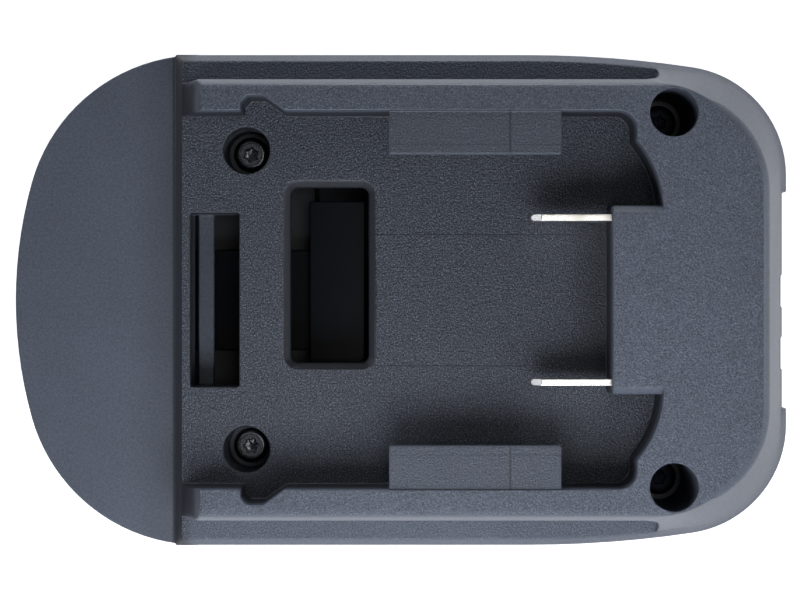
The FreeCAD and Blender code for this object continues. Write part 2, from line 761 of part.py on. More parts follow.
def tool_side_shell():
    """The lower moulding: nose walls and bay, slide block with rails and slots, bosses."""
    body = new_body("tool_side_shell")
    add(body, "Tub", [body_outline()], "block_height", "seam")
    dress(body, "TubRound", "Fillet", "wall * 0.8", lambda edge: close(edge.BoundBox.ZMax, value("block_height")))
    cut(body, "TubInside", [body_outline("wall")], "tub_floor", "seam + 1")
    block = rectangle("slide_start", "slide_end", "-slide_half", "slide_half")
    add(body, "SlideBlock", [block], "0", "tub_floor")
    dress(body, "SlideCorners", "Fillet", "slide_corner_radius", is_slide_corner)
    dress(body, "SlideBottom", "Chamfer", "0.6", lambda edge: close(edge.BoundBox.ZMax, 0.0))
    inside = rectangle("slide_start + wall", "slide_end - wall", "wall - slide_half", "slide_half - wall")
    cut(body, "SlideInside", [inside], "slide_floor", "tub_floor + 1")

    # rails for the tool
    outer = "slide_half + rail_reach"
    rail = [
        line_to("rail_start", "slide_half - 1"),
        line_to("rail_end", "slide_half - 1"),
        line_to("rail_end", f"{outer} - rail_reach / 2"),
        line_to("rail_end - rail_lead", outer),
        line_to("rail_start", outer),
    ]
    add(body, "Rails", both_sides(rail), "rail_low", "rail_low + rail_height")
    slot = rectangle("terminal_slot_start", "slide_end + 1", "slot_y - terminal_slot_width / 2",
                     "slot_y + terminal_slot_width / 2")
    cut(body, "TerminalSlots", both_sides(slot), "-1", "terminal_slot_height")

    # nose bay for the release button
    bay_walls = rectangle("wall + 1.2 - half_length", "bay_back + bay_wall",
                          "-(bay_half + bay_wall)", "bay_half + bay_wall")
    add(body, "BayWalls", [bay_walls], "tub_floor - 1", "seam")
    bay = rectangle("-half_length - 1", "bay_back", "-bay_half", "bay_half")
    cut(body, "Bay", [bay], "tub_floor", "seam + 1")
    gate = rectangle("bay_back - 1", "bay_back + bay_wall + 1", "-(latch_tongue_half + motion_gap)",
                     "latch_tongue_half + motion_gap")
    cut(body, "BayGate", [gate], "tub_floor", "latch_top + latch_travel + motion_gap")

    # opening for the latch hook, guide posts and screw bosses
    hook = rectangle("hook_start - latch_hole_margin", "hook_start + hook_length + latch_hole_margin",
                     "-(hook_half + latch_hole_margin)", "hook_half + latch_hole_margin")
    cut(body, "HookOpening", [hook], "block_height - 1", "tub_floor + 1")
    add(body, "GuidePosts", circle_pair("ear_x", "ear_y", "post_diameter"), "tub_floor - 0.5",
        "latch_top + latch_travel + 0.2")
    bosses = circle_pair("front_screw_x", "front_screw_y", "boss_diameter")
    bosses += circle_pair("rear_screw_x", "rear_screw_y", "boss_diameter")
    add(body, "ScrewBosses", bosses, "tub_floor - 1", "boss_top")
    pilots = circle_pair("front_screw_x", "front_screw_y", "pilot_diameter")
    pilots += circle_pair("rear_screw_x", "rear_screw_y", "pilot_diameter")
    cut(body, "ScrewPilots", pilots, "screw_seat - screw_length - 0.2", "boss_top + 0.5")
    carrier_bosses = circle_pair("clip_screw_x", "clip_screw_y", "small_screw_diameter + 3")
    add(body, "CarrierBosses", carrier_bosses, "slide_floor - 0.5", "clip_plate_low")
    carrier_pilots = circle_pair("clip_screw_x", "clip_screw_y", "small_screw_diameter + 0.1")
    cut(body, "CarrierPilots", carrier_pilots, "slide_floor + 1", "clip_plate_low + 0.5")

    # recess, opening and grooves of the end panel
    recess = rectangle("end_face", "half_length + 1", "-panel_recess_half", "panel_recess_half")
    cut(body, "EndRecess", [recess], "tub_floor + 0.2", "seam + 1")
    opening = rectangle("wall_inside - 1", "half_length + 1", "-(panel_half + fit_gap)", "panel_half + fit_gap")
    cut(body, "PanelOpening", [opening], "panel_low - fit_gap", "seam + 1")
    groove_x = "wall_inside - panel_flange_thickness - 2 * fit_gap"
    keeper = rectangle(f"{groove_x} - 1.4", groove_x, "panel_half", "panel_half + panel_flange + 1")
    foot = rectangle(f"{groove_x} - 1.4", "slide_end - wall + 0.5", "panel_half", "panel_half + panel_flange + 1")
    add(body, "KeeperFeet", both_sides(foot), "tub_floor - wall", "tub_floor")
    add(body, "PanelKeepers", both_sides(keeper), "tub_floor - 0.5", "seam - 2")
    return body


def is_slide_corner(edge):
    """The upright corners of the slide block below the deck of the tub."""
    box = edge.BoundBox
    at_x = close(box.XMin, value("slide_start")) or close(box.XMin, value("slide_end"))
    at_y = close(abs(box.YMin), value("slide_half"))
    return box.ZLength > 5 and box.XLength < 0.01 and box.YLength < 0.01 and at_x and at_y


def end_panel():
    """The plain panel of the terminal end, held by a flange behind the wall."""
    body = new_body("end_panel")
    face = rectangle("wall_inside - fit_gap - 0.5", "panel_face", "-panel_half", "panel_half")
    add(body, "Face", [face], "panel_low", "panel_top")
    dress(body, "FaceBevel", "Chamfer", "panel_proud", lambda edge: close(edge.BoundBox.XMin, value("panel_face")))
    flange_half = "panel_half + panel_flange"
    flange = rectangle("wall_inside - fit_gap - panel_flange_thickness", "wall_inside - fit_gap",
                       f"-({flange_half})", flange_half)
    add(body, "Flange", [flange], "tub_floor + fit_gap", "panel_top")
    return body


def blade(label, side):
    """One battery blade: a flat strip on edge, bevelled at the tip, with a solder tab at the tail."""
    body = new_body(label)
    tip = "terminal_face - blade_reach"
    profile = [
        line_to(f"{tip} + blade_tip_bevel", "blade_low"),
        line_to("blade_tail_end - blade_tab_width", "blade_low"),
        line_to("blade_tail_end - blade_tab_width", "blade_tab_bottom"),
        line_to("blade_tail_end", "blade_tab_bottom"),
        line_to("blade_tail_end", "blade_top - 1.5"),
        line_to("blade_tail_end - 1.5", "blade_top"),
        line_to(f"{tip} + blade_tip_bevel", "blade_top"),
        line_to(tip, "blade_top - blade_tip_bevel"),
        line_to(tip, "blade_low + blade_tip_bevel"),
    ]
    low = f"{side} * blade_y - blade_thickness / 2"
    add(body, "Strip", [profile], low, f"{low} + blade_thickness", plane="XZ")
    dress(body, "TipCoin", "Chamfer", "blade_thickness * 0.3",
          lambda edge: close(edge.BoundBox.XMin, value(tip)) and edge.BoundBox.XLength < 0.01
          and edge.BoundBox.ZLength > 1)
    return body


def blade_carrier():
    """The insulating block under the terminal block's roof, with a rebate for each blade."""
    body = new_body("blade_carrier")
    block = rectangle("carrier_start", "carrier_end", "-carrier_half", "carrier_half")
    add(body, "Block", [block], "carrier_bottom", "carrier_top - fit_gap / 2")
    wings = rectangle("carrier_start", "carrier_end", "blade_y - blade_thickness / 2 - 2", "carrier_half")
    add(body, "Wings", both_sides(wings), "carrier_top - fit_gap / 2", "roof_under - fit_gap")
    rebate = rectangle("carrier_start - 1", "carrier_end + 1", "blade_y - blade_thickness / 2", "carrier_half + 1")
    cut(body, "Rebates", both_sides(rebate), "blade_low", "roof_under + 1")
    holes = circle_pair("carrier_screw_x", "carrier_screw_y", "small_screw_diameter + 0.3")
    cut(body, "ScrewHoles", holes, "carrier_bottom - 1", "roof_under + 1")
    return body


def clip(label, side):
    """One tool contact: two leaves that spring together near the mouth, and a solder tail."""
    body = new_body(label)
    far = "clip_start + clip_length"
    pinch = f"{far} - 3"
    half = "clip_gap / 2"

    def wide(amount):
        return f"{side} * clip_y + ({amount})"

    profile = [
        line_to("clip_start", wide("-clip_gap - clip_thickness")),
        line_to("clip_start + 4", wide("-clip_gap - clip_thickness")),
        line_to(pinch, wide(f"-({half}) - clip_thickness")),
        line_to(far, wide("-clip_mouth_gap / 2 - clip_thickness")),
        line_to(far, wide("-clip_mouth_gap / 2")),
        line_to(pinch, wide(f"-({half})")),
        line_to("clip_start + 4", wide("-clip_gap")),
        line_to("clip_start + clip_thickness", wide("-clip_gap")),
        line_to("clip_start + clip_thickness", wide("clip_gap")),
        line_to("clip_start + 4", wide("clip_gap")),
        line_to(pinch, wide(half)),
        line_to(far, wide("clip_mouth_gap / 2")),
        line_to(far, wide("clip_mouth_gap / 2 + clip_thickness")),
        line_to(pinch, wide(f"{half} + clip_thickness")),
        line_to("clip_start + 4", wide("clip_gap + clip_thickness")),
        line_to("clip_start", wide("clip_gap + clip_thickness")),
    ]
    add(body, "Leaves", [profile], "clip_low", "clip_low + clip_height")
    tail_low = "clip_gap" if side > 0 else "-clip_gap - clip_thickness"
    tail = rectangle("clip_tail_x - clip_tail_width / 2", "clip_tail_x + clip_tail_width / 2",
                     wide(tail_low), wide(f"{tail_low} + clip_thickness"))
    add(body, "Tail", [tail], "clip_low + clip_height - 0.5", "clip_tail_top")
    return body


def clip_carrier():
    """The insulating holder that closes the slide block and walls in each clip."""
    body = new_body("clip_carrier")
    start = "terminal_slot_start - clip_wall"
    plate = rectangle(start, "clip_carrier_end", "-clip_carrier_half", "clip_carrier_half")
    add(body, "Plate", [plate], "clip_plate_low", "clip_plate_high")
    near = "slot_y - terminal_slot_width / 2"
    far = "slot_y + terminal_slot_width / 2"
    walls = [
        line_to(start, f"{near} - clip_wall"),
        line_to("clip_carrier_end", f"{near} - clip_wall"),
        line_to("clip_carrier_end", f"{far} + clip_wall"),
        line_to(start, f"{far} + clip_wall"),
    ]
    add(body, "Housings", both_sides(walls), "slide_floor + 0.1", "clip_plate_low")
    hollow = rectangle("terminal_slot_start", "clip_carrier_end + 1", near, far)
    cut(body, "HousingBores", both_sides(hollow), "0", "clip_plate_low")
    tail_middle = "clip_y + clip_gap + clip_thickness / 2"
    tails = rectangle("clip_tail_x - clip_tail_width / 2 - 0.2", "clip_tail_x + clip_tail_width / 2 + 0.2",
                      f"{tail_middle} - clip_thickness / 2 - 0.1", f"{tail_middle} + clip_thickness / 2 + 0.1")
    cut(body, "TailSlits", both_sides(tails), "clip_plate_low - 1", "clip_plate_high + 1")
    holes = circle_pair("clip_screw_x", "clip_screw_y", "small_screw_diameter + 0.3")
    cut(body, "ScrewHoles", holes, "clip_plate_low - 1", "clip_plate_high + 1")
    return body


def release_latch():
    """The latch slider: button tongue, guide ears, hook and the tail seen through the window."""
    body = new_body("release_latch")
    front = "bay_back - bay_depth + button_recess + button_skirt + 0.3"
    tail_end = "tail_start + tail_length"
    spine = rectangle(front, f"{tail_end} - 1", "-latch_tongue_half", "latch_tongue_half")
    add(body, "Spine", [spine], "latch_low", "latch_top")
    wing = rectangle("ear_x - ear_radius", "ear_x + ear_radius", "-ear_y", "ear_y")
    add(body, "Wings", [wing], "latch_low", "latch_top")
    add(body, "Ears", circle_pair("ear_x", "ear_y", "2 * ear_radius"), "latch_low", "latch_top")
    cut(body, "EarHoles", circle_pair("ear_x", "ear_y", "ear_hole"), "latch_low - 1", "latch_top + 1")
    tail = rectangle("tail_start", tail_end, "-tail_half", "tail_half")
    add(body, "Tail", [tail], "latch_low", "tail_top")
    hook_end = "hook_start + hook_length"
    hook_low = "block_height - hook_reach"
    hook = [
        line_to("hook_start", "latch_low + 0.5"),
        line_to("hook_start", hook_low),
        line_to("hook_start + hook_tip_length", hook_low),
        line_to(hook_end, "block_height - 0.5"),
        line_to(hook_end, "latch_low + 0.5"),
    ]
    add(body, "Hook", [hook], "-hook_half", "hook_half", plane="XZ")
    screws = circle_pair("button_screw_x", "button_screw_y", "button_screw_diameter + 0.3")
    cut(body, "ScrewHoles", screws, "latch_low - 1", "latch_top + 1")
    heads = circle_pair("button_screw_x", "button_screw_y", "button_screw_head + 0.3")
    cut(body, "HeadSeats", heads, "latch_low - 1", "latch_low + 1.4")
    return body


def release_button():
    """The button in the nose bay, seated on the latch's tongue, with grip grooves across its face."""
    body = new_body("release_button")
    inset = "button_recess"
    half = "bay_half - button_gap"
    back = "bay_back - button_gap"
    radius = f"(nose_front_radius - {inset})"
    middle = "(nose_front_radius - half_length)"
    side_x = f"{middle} - sqrt({radius} ^ 2 - ({half}) ^ 2)"
    face = [
        arc_to(side_x, half, radius),
        line_to(side_x, f"-({half})"),
        line_to(back, f"-({half})"),
        line_to(back, half),
    ]
    bottom = "latch_low - 0.2"
    add(body, "Block", [face], bottom, f"{bottom} + button_height")
    seat = rectangle("bay_back - bay_depth + button_recess + button_skirt", "bay_back + 1",
                     "-(latch_tongue_half + fit_gap)", "latch_tongue_half + fit_gap")
    cut(body, "TongueSeat", [seat], f"{bottom} - 1", "latch_top")
    screws = circle_pair("button_screw_x", "button_screw_y", "button_screw_diameter + 0.1")
    cut(body, "ScrewPilots", screws, "latch_top - 0.5", "latch_low + 1.4 + button_screw_length + 0.2")
    for number in range(int(SIZES["grip_count"])):
        level = f"{bottom} + button_height - 1.4 - {number} * grip_pitch"
        groove = [
            arc_to(f"{middle} - sqrt(({radius} - grip_depth) ^ 2 - ({half} - 2) ^ 2)", f"{half} - 2",
                   f"{radius} - grip_depth"),
            line_to(f"{middle} - sqrt(({radius} - grip_depth) ^ 2 - ({half} - 2) ^ 2)", f"2 - ({half})"),
            line_to("-half_length - 1", f"2 - ({half})"),
            line_to("-half_length - 1", f"{half} - 2"),
        ]
        cut(body, f"Grip{number}", [groove], f"{level} - grip_pitch / 2", level)
    return body


def screw_pair(label, x, y, seat, diameter, length, head, head_height, up):
    """Two identical screws on one axis pair; up is 1 where the head is on top."""
    body = new_body(label)
    if up > 0:
        add(body, "Heads", circle_pair(x, y, head), seat, f"{seat} + {head_height}")
        add(body, "Shanks", circle_pair(x, y, diameter), f"{seat} - {length}", seat)
        top = f"{seat} + {head_height}"
        drive = [hexagon(x, y), hexagon(x, f"-({y})")]
        cut(body, "Drives", drive, f"{top} - drive_depth", f"{top} + 1")
    else:
        add(body, "Heads", circle_pair(x, y, head), f"{seat} - {head_height}", seat)
        add(body, "Shanks", circle_pair(x, y, diameter), seat, f"{seat} + {length}")
        drive = [hexagon(x, y), hexagon(x, f"-({y})")]
        cut(body, "Drives", drive, f"{seat} - {head_height} - 1", f"{seat} - {head_height} / 2")
    return body


def hexagon(x, y, width="drive_width * 0.7"):
    """A hexagonal drive recess."""
    corners = []
    for step in range(6):
        angle = math.radians(60 * step + 30)
        reach_x = round(math.cos(angle) / math.sqrt(3), 6)
        reach_y = round(math.sin(angle) / math.sqrt(3), 6)
        corners.append(line_to(f"{x} + {width} * {reach_x}", f"{y} + {width} * {reach_y}"))
    return corners


def tangent_path(points, label):
    """Straight runs joined by tangent arcs, each as large as its two runs allow."""
    pieces = []
    radii = []
    here = points[0]
    for index in range(1, len(points) - 1):
        corner = points[index]
        back = (points[index - 1] - corner)
        ahead = (points[index + 1] - corner)
        shorter = min(back.Length, ahead.Length)
        turn = math.pi - back.getAngle(ahead)
        radius = 0.45 * shorter / math.tan(turn / 2)
        reach = radius * math.tan(turn / 2)
        start = corner + back.normalize() * reach
        end = corner + ahead.normalize() * reach
        inward = (back + ahead).normalize()
        centre = corner + inward * (radius / math.cos(turn / 2))
        middle = centre - inward * radius
        pieces.append(Part.LineSegment(here, start).toShape())
        pieces.append(Part.Arc(start, middle, end).toShape())
        radii.append(round(radius, 2))
        here = end
    pieces.append(Part.LineSegment(here, points[-1]).toShape())
    print(label, "radii", radii)
    return Part.Wire(pieces)


def lead(label, side):
    """One wire from a clip's tail to a blade's solder tab."""
    tail_y = side * value("clip_y + clip_gap + clip_thickness / 2")
    low = Vector(value("clip_tail_x"), tail_y, value("clip_tail_top + 0.05"))
    tab_x = value("blade_tail_end - blade_tab_width / 2")
    high = Vector(tab_x, side * value("blade_y"), value("blade_tab_bottom - 0.05"))
    points = [low, low + Vector(0, 0, value("lead_lower_run")),
              high - Vector(0, 0, value("lead_upper_run")), high]
    path = tangent_path(points, label)
    radius = value("lead_diameter") / 2
    ring = Part.Wire([Part.Circle(low, Vector(0, 0, 1), radius).toShape()])
    solid = path.makePipeShell([ring], True, False)
    expected = math.pi * radius ** 2 * path.Length
    print(label, "volume", round(solid.Volume, 2), "section times length", round(expected, 2))
    feature = doc.addObject("Part::Feature", label)
    feature.Label = label
    feature.Shape = solid
    feature.Placement = FreeCAD.Placement()
    SUB_PARTS.append(feature)
    return feature


def sleeve(label, x, y, low, bore="sleeve_bore"):
    """A shrink sleeve: a short upright tube over a soldered joint."""
    body = new_body(label)
    add(body, "Tube", [(x, y, f"{bore} + 2 * sleeve_wall"), (x, y, bore)], low, f"{low} + sleeve_length")
    return body


def spring(label, side):
    """One return spring: an open helix of quarter-turn biarcs, one unbroken tube."""
    wire = value("spring_wire")
    mean = (value("spring_diameter") - wire) / 2
    low = value("latch_top + spring_seat_gap") + wire / 2
    high = value("seam - spring_seat_gap") - wire / 2
    turns = int(value("spring_turns"))
    middle = Vector(value("ear_x"), side * value("ear_y"), 0)
    steps = turns * 4
    rise = (high - low) / steps
    slope = rise / (mean * math.pi / 2)

    def place(step):
        angle = step * math.pi / 2
        return middle + Vector(mean * math.cos(angle), mean * math.sin(angle), low + rise * step)

    def heading(step):
        angle = step * math.pi / 2
        return Vector(-math.sin(angle), math.cos(angle), slope).normalize()

    edges = []
    for step in range(steps):
        edges += biarc(place(step), heading(step), place(step + 1), heading(step + 1))
    path = Part.Wire(edges)
    ring = Part.Wire([Part.Circle(place(0), heading(0), wire / 2).toShape()])
    solid = path.makePipeShell([ring], True, False)
    pitch = rise * 4
    points = [place(quarter / 8) for quarter in range(0, steps * 8 + 1)]
    apart = min((a - b).Length for number, a in enumerate(points)
                for b in points[number + 20:]) - wire
    print(label, "pitch", round(pitch, 3), "least gap to itself", round(apart, 3),
          "volume", round(solid.Volume, 3), "section times length",
          round(math.pi * wire ** 2 / 4 * path.Length, 3))
    feature = doc.addObject("Part::Feature", label)
    feature.Label = label
    feature.Shape = solid
    feature.Placement = FreeCAD.Placement()
    SUB_PARTS.append(feature)
    return feature


def biarc(start, start_way, end, end_way):
    """Two tangent arcs that join two points and their directions, with equal reaches."""
    span = end - start
    way_sum = start_way + end_way
    a = 2 * (1 - start_way.dot(end_way))
    b = 2 * span.dot(way_sum)
    c = -span.dot(span)
    reach = (-b + math.sqrt(b * b - 4 * a * c)) / (2 * a)
    joint = (start + end + (start_way - end_way) * reach) * 0.5
    arcs = []
    for near, far, way in ((start, joint, start_way), (joint, end, (joint - start).normalize())):
        chord = far - near
        if far is end:
            way = (end - end_way * reach - joint).normalize()
        side = chord - way * chord.dot(way)
        radius = chord.Length ** 2 / (2 * side.Length)
        centre = near + side.normalize() * radius
        bow = (near + far) * 0.5 - centre
        middle = centre + bow.normalize() * radius
        arcs.append(Part.Arc(near, middle, far).toShape())
    return arcs


def build_all():
    battery_side_shell()
    tool_side_shell()
    end_panel()
    blade("blade_positive", 1)
    blade("blade_negative", -1)
    blade_carrier()
    screw_pair("blade_carrier_screws", "carrier_screw_x", "carrier_screw_y", "carrier_bottom",
               "small_screw_diameter", "8", "small_screw_head", "small_screw_head_height", -1)
    clip("clip_positive", 1)
    clip("clip_negative", -1)
    clip_carrier()
    screw_pair("clip_carrier_screws", "clip_screw_x", "clip_screw_y", "clip_plate_high",
               "small_screw_diameter", "8", "small_screw_head", "small_screw_head_height", 1)
    tail_y = "(clip_y + clip_gap + clip_thickness / 2)"
    for name, side in (("positive", 1), ("negative", -1)):
        lead(f"lead_{name}", side)
        sleeve(f"clip_sleeve_{name}", "clip_tail_x", f"{side} * {tail_y}", "clip_tail_top - sleeve_length / 2")
        sleeve(f"blade_sleeve_{name}", "blade_tail_end - blade_tab_width / 2", f"{side} * blade_y",
               "blade_tab_bottom - sleeve_length / 2")
    release_latch()
    release_button()
    screw_pair("button_screws", "button_screw_x", "button_screw_y", "latch_low + 1.4",
               "button_screw_diameter", "button_screw_length", "button_screw_head", "1.2", -1)
    spring("latch_spring_left", 1)
    spring("latch_spring_right", -1)
    for name in ("front", "rear"):
        screw_pair(f"shell_screws_{name}", f"{name}_screw_x", f"{name}_screw_y", "screw_seat",
                   "screw_diameter", "screw_length", "screw_head_diameter", "screw_head_height", 1)


def check_and_write():
    """Refuses a failed or empty shape, then writes one file for each sub-part."""
    faults = [item.Label for item in doc.Objects if "Invalid" in item.State or "Error" in item.State]
    for part in SUB_PARTS:
        if part.Shape.isNull() or not part.Shape.isValid() or not part.Shape.Solids:
            faults.append(part.Label)
    if WEAK_CUTS:
        print("features that change nothing:", WEAK_CUTS)
    if faults:
        raise RuntimeError(f"failed objects: {faults}")
    os.makedirs("parts", exist_ok=True)
    for part in SUB_PARTS:
        part.Shape.exportStep(f"parts/{part.Label}.step")
        print(part.Label, len(part.Shape.Solids), "solids", round(part.Shape.Volume, 1))


build_all()
doc.recompute()
check_and_write()
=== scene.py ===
"""Battery adapter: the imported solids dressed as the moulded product, seen from above.

Everything is in metres in the frame of the solids: +X towards the terminal end, +Z towards the
side that takes the battery, the origin under the middle of the body.
"""

import logging
import math
from dataclasses import dataclass
from enum import Enum
from typing import Any, Callable

import bmesh
import bpy
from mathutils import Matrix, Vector

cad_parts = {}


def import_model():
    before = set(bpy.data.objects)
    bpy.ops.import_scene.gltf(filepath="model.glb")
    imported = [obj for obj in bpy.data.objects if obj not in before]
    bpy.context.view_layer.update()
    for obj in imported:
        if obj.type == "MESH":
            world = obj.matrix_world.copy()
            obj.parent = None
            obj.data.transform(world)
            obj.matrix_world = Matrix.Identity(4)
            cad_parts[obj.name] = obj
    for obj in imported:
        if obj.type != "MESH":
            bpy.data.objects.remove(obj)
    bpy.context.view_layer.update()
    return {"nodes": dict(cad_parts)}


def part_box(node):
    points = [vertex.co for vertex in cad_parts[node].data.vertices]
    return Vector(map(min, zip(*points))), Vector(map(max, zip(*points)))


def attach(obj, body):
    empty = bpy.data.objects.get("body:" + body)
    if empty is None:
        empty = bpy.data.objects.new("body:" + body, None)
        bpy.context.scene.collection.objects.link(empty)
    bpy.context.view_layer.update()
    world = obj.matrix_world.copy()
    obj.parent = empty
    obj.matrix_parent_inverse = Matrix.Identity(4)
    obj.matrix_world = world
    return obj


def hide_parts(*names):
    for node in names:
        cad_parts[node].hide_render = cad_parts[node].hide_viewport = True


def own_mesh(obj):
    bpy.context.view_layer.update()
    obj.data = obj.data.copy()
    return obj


LOG = logging.getLogger("battery_adapter")
MM = 0.001
UPWARD = 0.9  # least height of an upward face's normal

Pair = tuple[float, float]
Triple = tuple[float, float, float]


class Rider(Enum):
    """The rigid bodies that pieces ride on."""

    HOUSING = "housing"
    LATCH = "latch"


class Drive(Enum):
    """The recess in a screw's head, by its number of lobes."""

    SIX_LOBE = 6
    CROSS = 4


# Shader building


@dataclass(frozen=True)
class Signal:
    """One value in a shader, on which Python's operators add Math nodes."""

    recipe: "NodeSheet"
    socket: bpy.types.NodeSocket

    def _with(self, operation: str, *others: Any) -> "Signal":
        """Adds one Math node.

        Args:
            operation: Name of the Math node's operation.
            others: The further operands, signals or numbers.

        Returns:
            The node's result.
        """
        return self.recipe.maths(operation, self, *others)

    def __add__(self, other: Any) -> "Signal":
        """Sum."""
        return self._with("ADD", other)

    def __radd__(self, other: Any) -> "Signal":
        """Sum with a number on the left."""
        return self._with("ADD", other)

    def __sub__(self, other: Any) -> "Signal":
        """Difference."""
        return self._with("SUBTRACT", other)

    def __rsub__(self, other: Any) -> "Signal":
        """Difference with a number on the left."""
        return self.recipe.maths("SUBTRACT", other, self)

    def __mul__(self, other: Any) -> "Signal":
        """Product."""
        return self._with("MULTIPLY", other)

    def __rmul__(self, other: Any) -> "Signal":
        """Product with a number on the left."""
        return self._with("MULTIPLY", other)

    def __pow__(self, other: Any) -> "Signal":
        """Power."""
        return self._with("POWER", other)

    def __abs__(self) -> "Signal":
        """Absolute value."""
        return self._with("ABSOLUTE")

    def most(self, other: Any) -> "Signal":
        """The larger of two values."""
        return self._with("MAXIMUM", other)

    def rises(self, start: float, end: float) -> "Signal":
        """A smooth step from 0 at start to 1 at end.

        Args:
            start: The value at which the step begins.
            end: The value at which it is complete.

        Returns:
            The stepped signal.
        """
        node = self.recipe.node("ShaderNodeMapRange", {"interpolation_type": "SMOOTHSTEP"}, {
            "Value": self, "From Min": start, "From Max": end, "To Min": 0.0, "To Max": 1.0})
        return Signal(self.recipe, node.outputs["Result"])

    def falls(self, start: float, end: float) -> "Signal":
        """A smooth step from 1 at start to 0 at end."""
        return 1.0 - self.rises(start, end)


class NodeSheet:
    """An emptied node tree and the helpers that fill it."""

    # Numbers of a Mix node's colour sockets, whose names its other sockets share.
    FIRST_COLOUR = 6
    SECOND_COLOUR = 7
    MIXED_COLOUR = 2

    def __init__(self, owner: bpy.types.Material | bpy.types.World, place: str = "Object") -> None:
        """Empties the owner's node tree.

        Args:
            owner: The material or world whose nodes are made.
            place: The coordinates that its patterns read.
        """
        owner.use_nodes = True
        self.tree = owner.node_tree
        self.tree.nodes.clear()
        self.place = self.node("ShaderNodeTexCoord").outputs[place]

    def feed(self, socket: bpy.types.NodeSocket, value: Any) -> None:
        """Gives a socket a link or a value.

        Args:
            socket: The input to fill.
            value: A signal, a socket, a number or a colour.
        """
        if isinstance(value, Signal):
            value = value.socket
        if isinstance(value, bpy.types.NodeSocket):
            self.tree.links.new(value, socket)
            return
        if isinstance(value, tuple) and len(value) == 3 and socket.type == "RGBA":
            value = (*value, 1.0)
        socket.default_value = value

    def node(self, kind: str, settings: dict[str, Any] | None = None,
             inputs: dict[Any, Any] | None = None) -> bpy.types.Node:
        """Adds one node.

        Args:
            kind: The node's type.
            settings: Its properties, set before its sockets are filled.
            inputs: Values or links of its sockets, by name or number.

        Returns:
            The new node.
        """
        made = self.tree.nodes.new(kind)
        for key, value in (settings or {}).items():
            setattr(made, key, value)
        for key, value in (inputs or {}).items():
            self.feed(made.inputs[key], value)
        return made

    def maths(self, operation: str, *operands: Any) -> Signal:
        """Adds a Math node.

        Args:
            operation: Its operation.
            operands: Signals or numbers.

        Returns:
            Its result.
        """
        made = self.node("ShaderNodeMath", {"operation": operation}, dict(enumerate(operands)))
        return Signal(self, made.outputs[0])

    def axis(self, letter: str, source: bpy.types.NodeSocket | None = None) -> Signal:
        """One coordinate of a place or direction, the piece's own place by default."""
        split = self.node("ShaderNodeSeparateXYZ", inputs={0: source or self.place})
        return Signal(self, split.outputs[letter])

    def stretched(self, sizes: Triple) -> bpy.types.NodeSocket:
        """The piece's own place, stretched by a factor along each axis."""
        mapping = self.node("ShaderNodeMapping", inputs={"Vector": self.place, "Scale": sizes})
        return mapping.outputs["Vector"]

    def noise(self, grain: float, detail: float = 2.0, place: bpy.types.NodeSocket | None = None,
              roughness: float = 0.5) -> Signal:
        """Noise with spots of about the given size.

        Args:
            grain: Size of a spot in metres.
            detail: Number of finer layers.
            place: Where it is read, the piece's own place by default.
            roughness: Strength of the finer layers.

        Returns:
            A signal around 0.5.
        """
        made = self.node("ShaderNodeTexNoise", inputs={
            "Vector": place or self.place, "Scale": 1.0 / grain,
            "Detail": detail, "Roughness": roughness})
        return Signal(self, made.outputs["Fac"])

    def cells(self, grain: float) -> Signal:
        """Distance to the nearest of many scattered points that lie about a grain apart."""
        made = self.node("ShaderNodeTexVoronoi", {"feature": "F1"},
                         {"Vector": self.place, "Scale": 1.0 / grain})
        return Signal(self, made.outputs["Distance"])

    def blend(self, share: Any, first: Any, second: Any, kind: str = "MIX") -> bpy.types.NodeSocket:
        """Mixes two colours.

        Args:
            share: Share of the second colour.
            first: The first colour.
            second: The second colour.
            kind: The way in which they mix.

        Returns:
            The mixed colour.
        """
        made = self.node("ShaderNodeMix", {"data_type": "RGBA", "blend_type": kind}, {
            "Factor": share, self.FIRST_COLOUR: first, self.SECOND_COLOUR: second})
        return made.outputs[self.MIXED_COLOUR]

    def tint(self, colour: Any, brightness: Signal) -> bpy.types.NodeSocket:
        """A colour made brighter or darker by a signal around 1."""
        grey = self.node("ShaderNodeCombineColor",
                         inputs={channel: brightness for channel in range(3)})
        return self.blend(1.0, colour, grey.outputs[0], "MULTIPLY")

    def bump(self, height: Signal, depth: float, strength: Any = 1.0) -> bpy.types.NodeSocket:
        """Turns a height into a normal.

        Args:
            height: The relief, 0 to 1.
            depth: Its depth in metres.
            strength: How much of it shows.

        Returns:
            The bent normal.
        """
        made = self.node("ShaderNodeBump", inputs={
            "Height": height, "Distance": depth, "Strength": strength})
        return made.outputs["Normal"]


class Recipe(NodeSheet):
    """A material under construction, with its Principled shader."""

    def __init__(self, name: str) -> None:
        """Starts an empty material.

        Args:
            name: The material's name.
        """
        self.material = bpy.data.materials.new(name)
        super().__init__(self.material)
        self.shader = self.tree.nodes.new("ShaderNodeBsdfPrincipled")
        self.node("ShaderNodeOutputMaterial", inputs={"Surface": self.shader.outputs["BSDF"]})

    def finish(self, **sockets: Any) -> bpy.types.Material:
        """Fills the shader's sockets.

        Args:
            sockets: Values by socket name, with underscores for spaces.

        Returns:
            The finished material.
        """
        for key, value in sockets.items():
            self.feed(self.shader.inputs[key.replace("_", " ")], value)
        return self.material


# Finishes


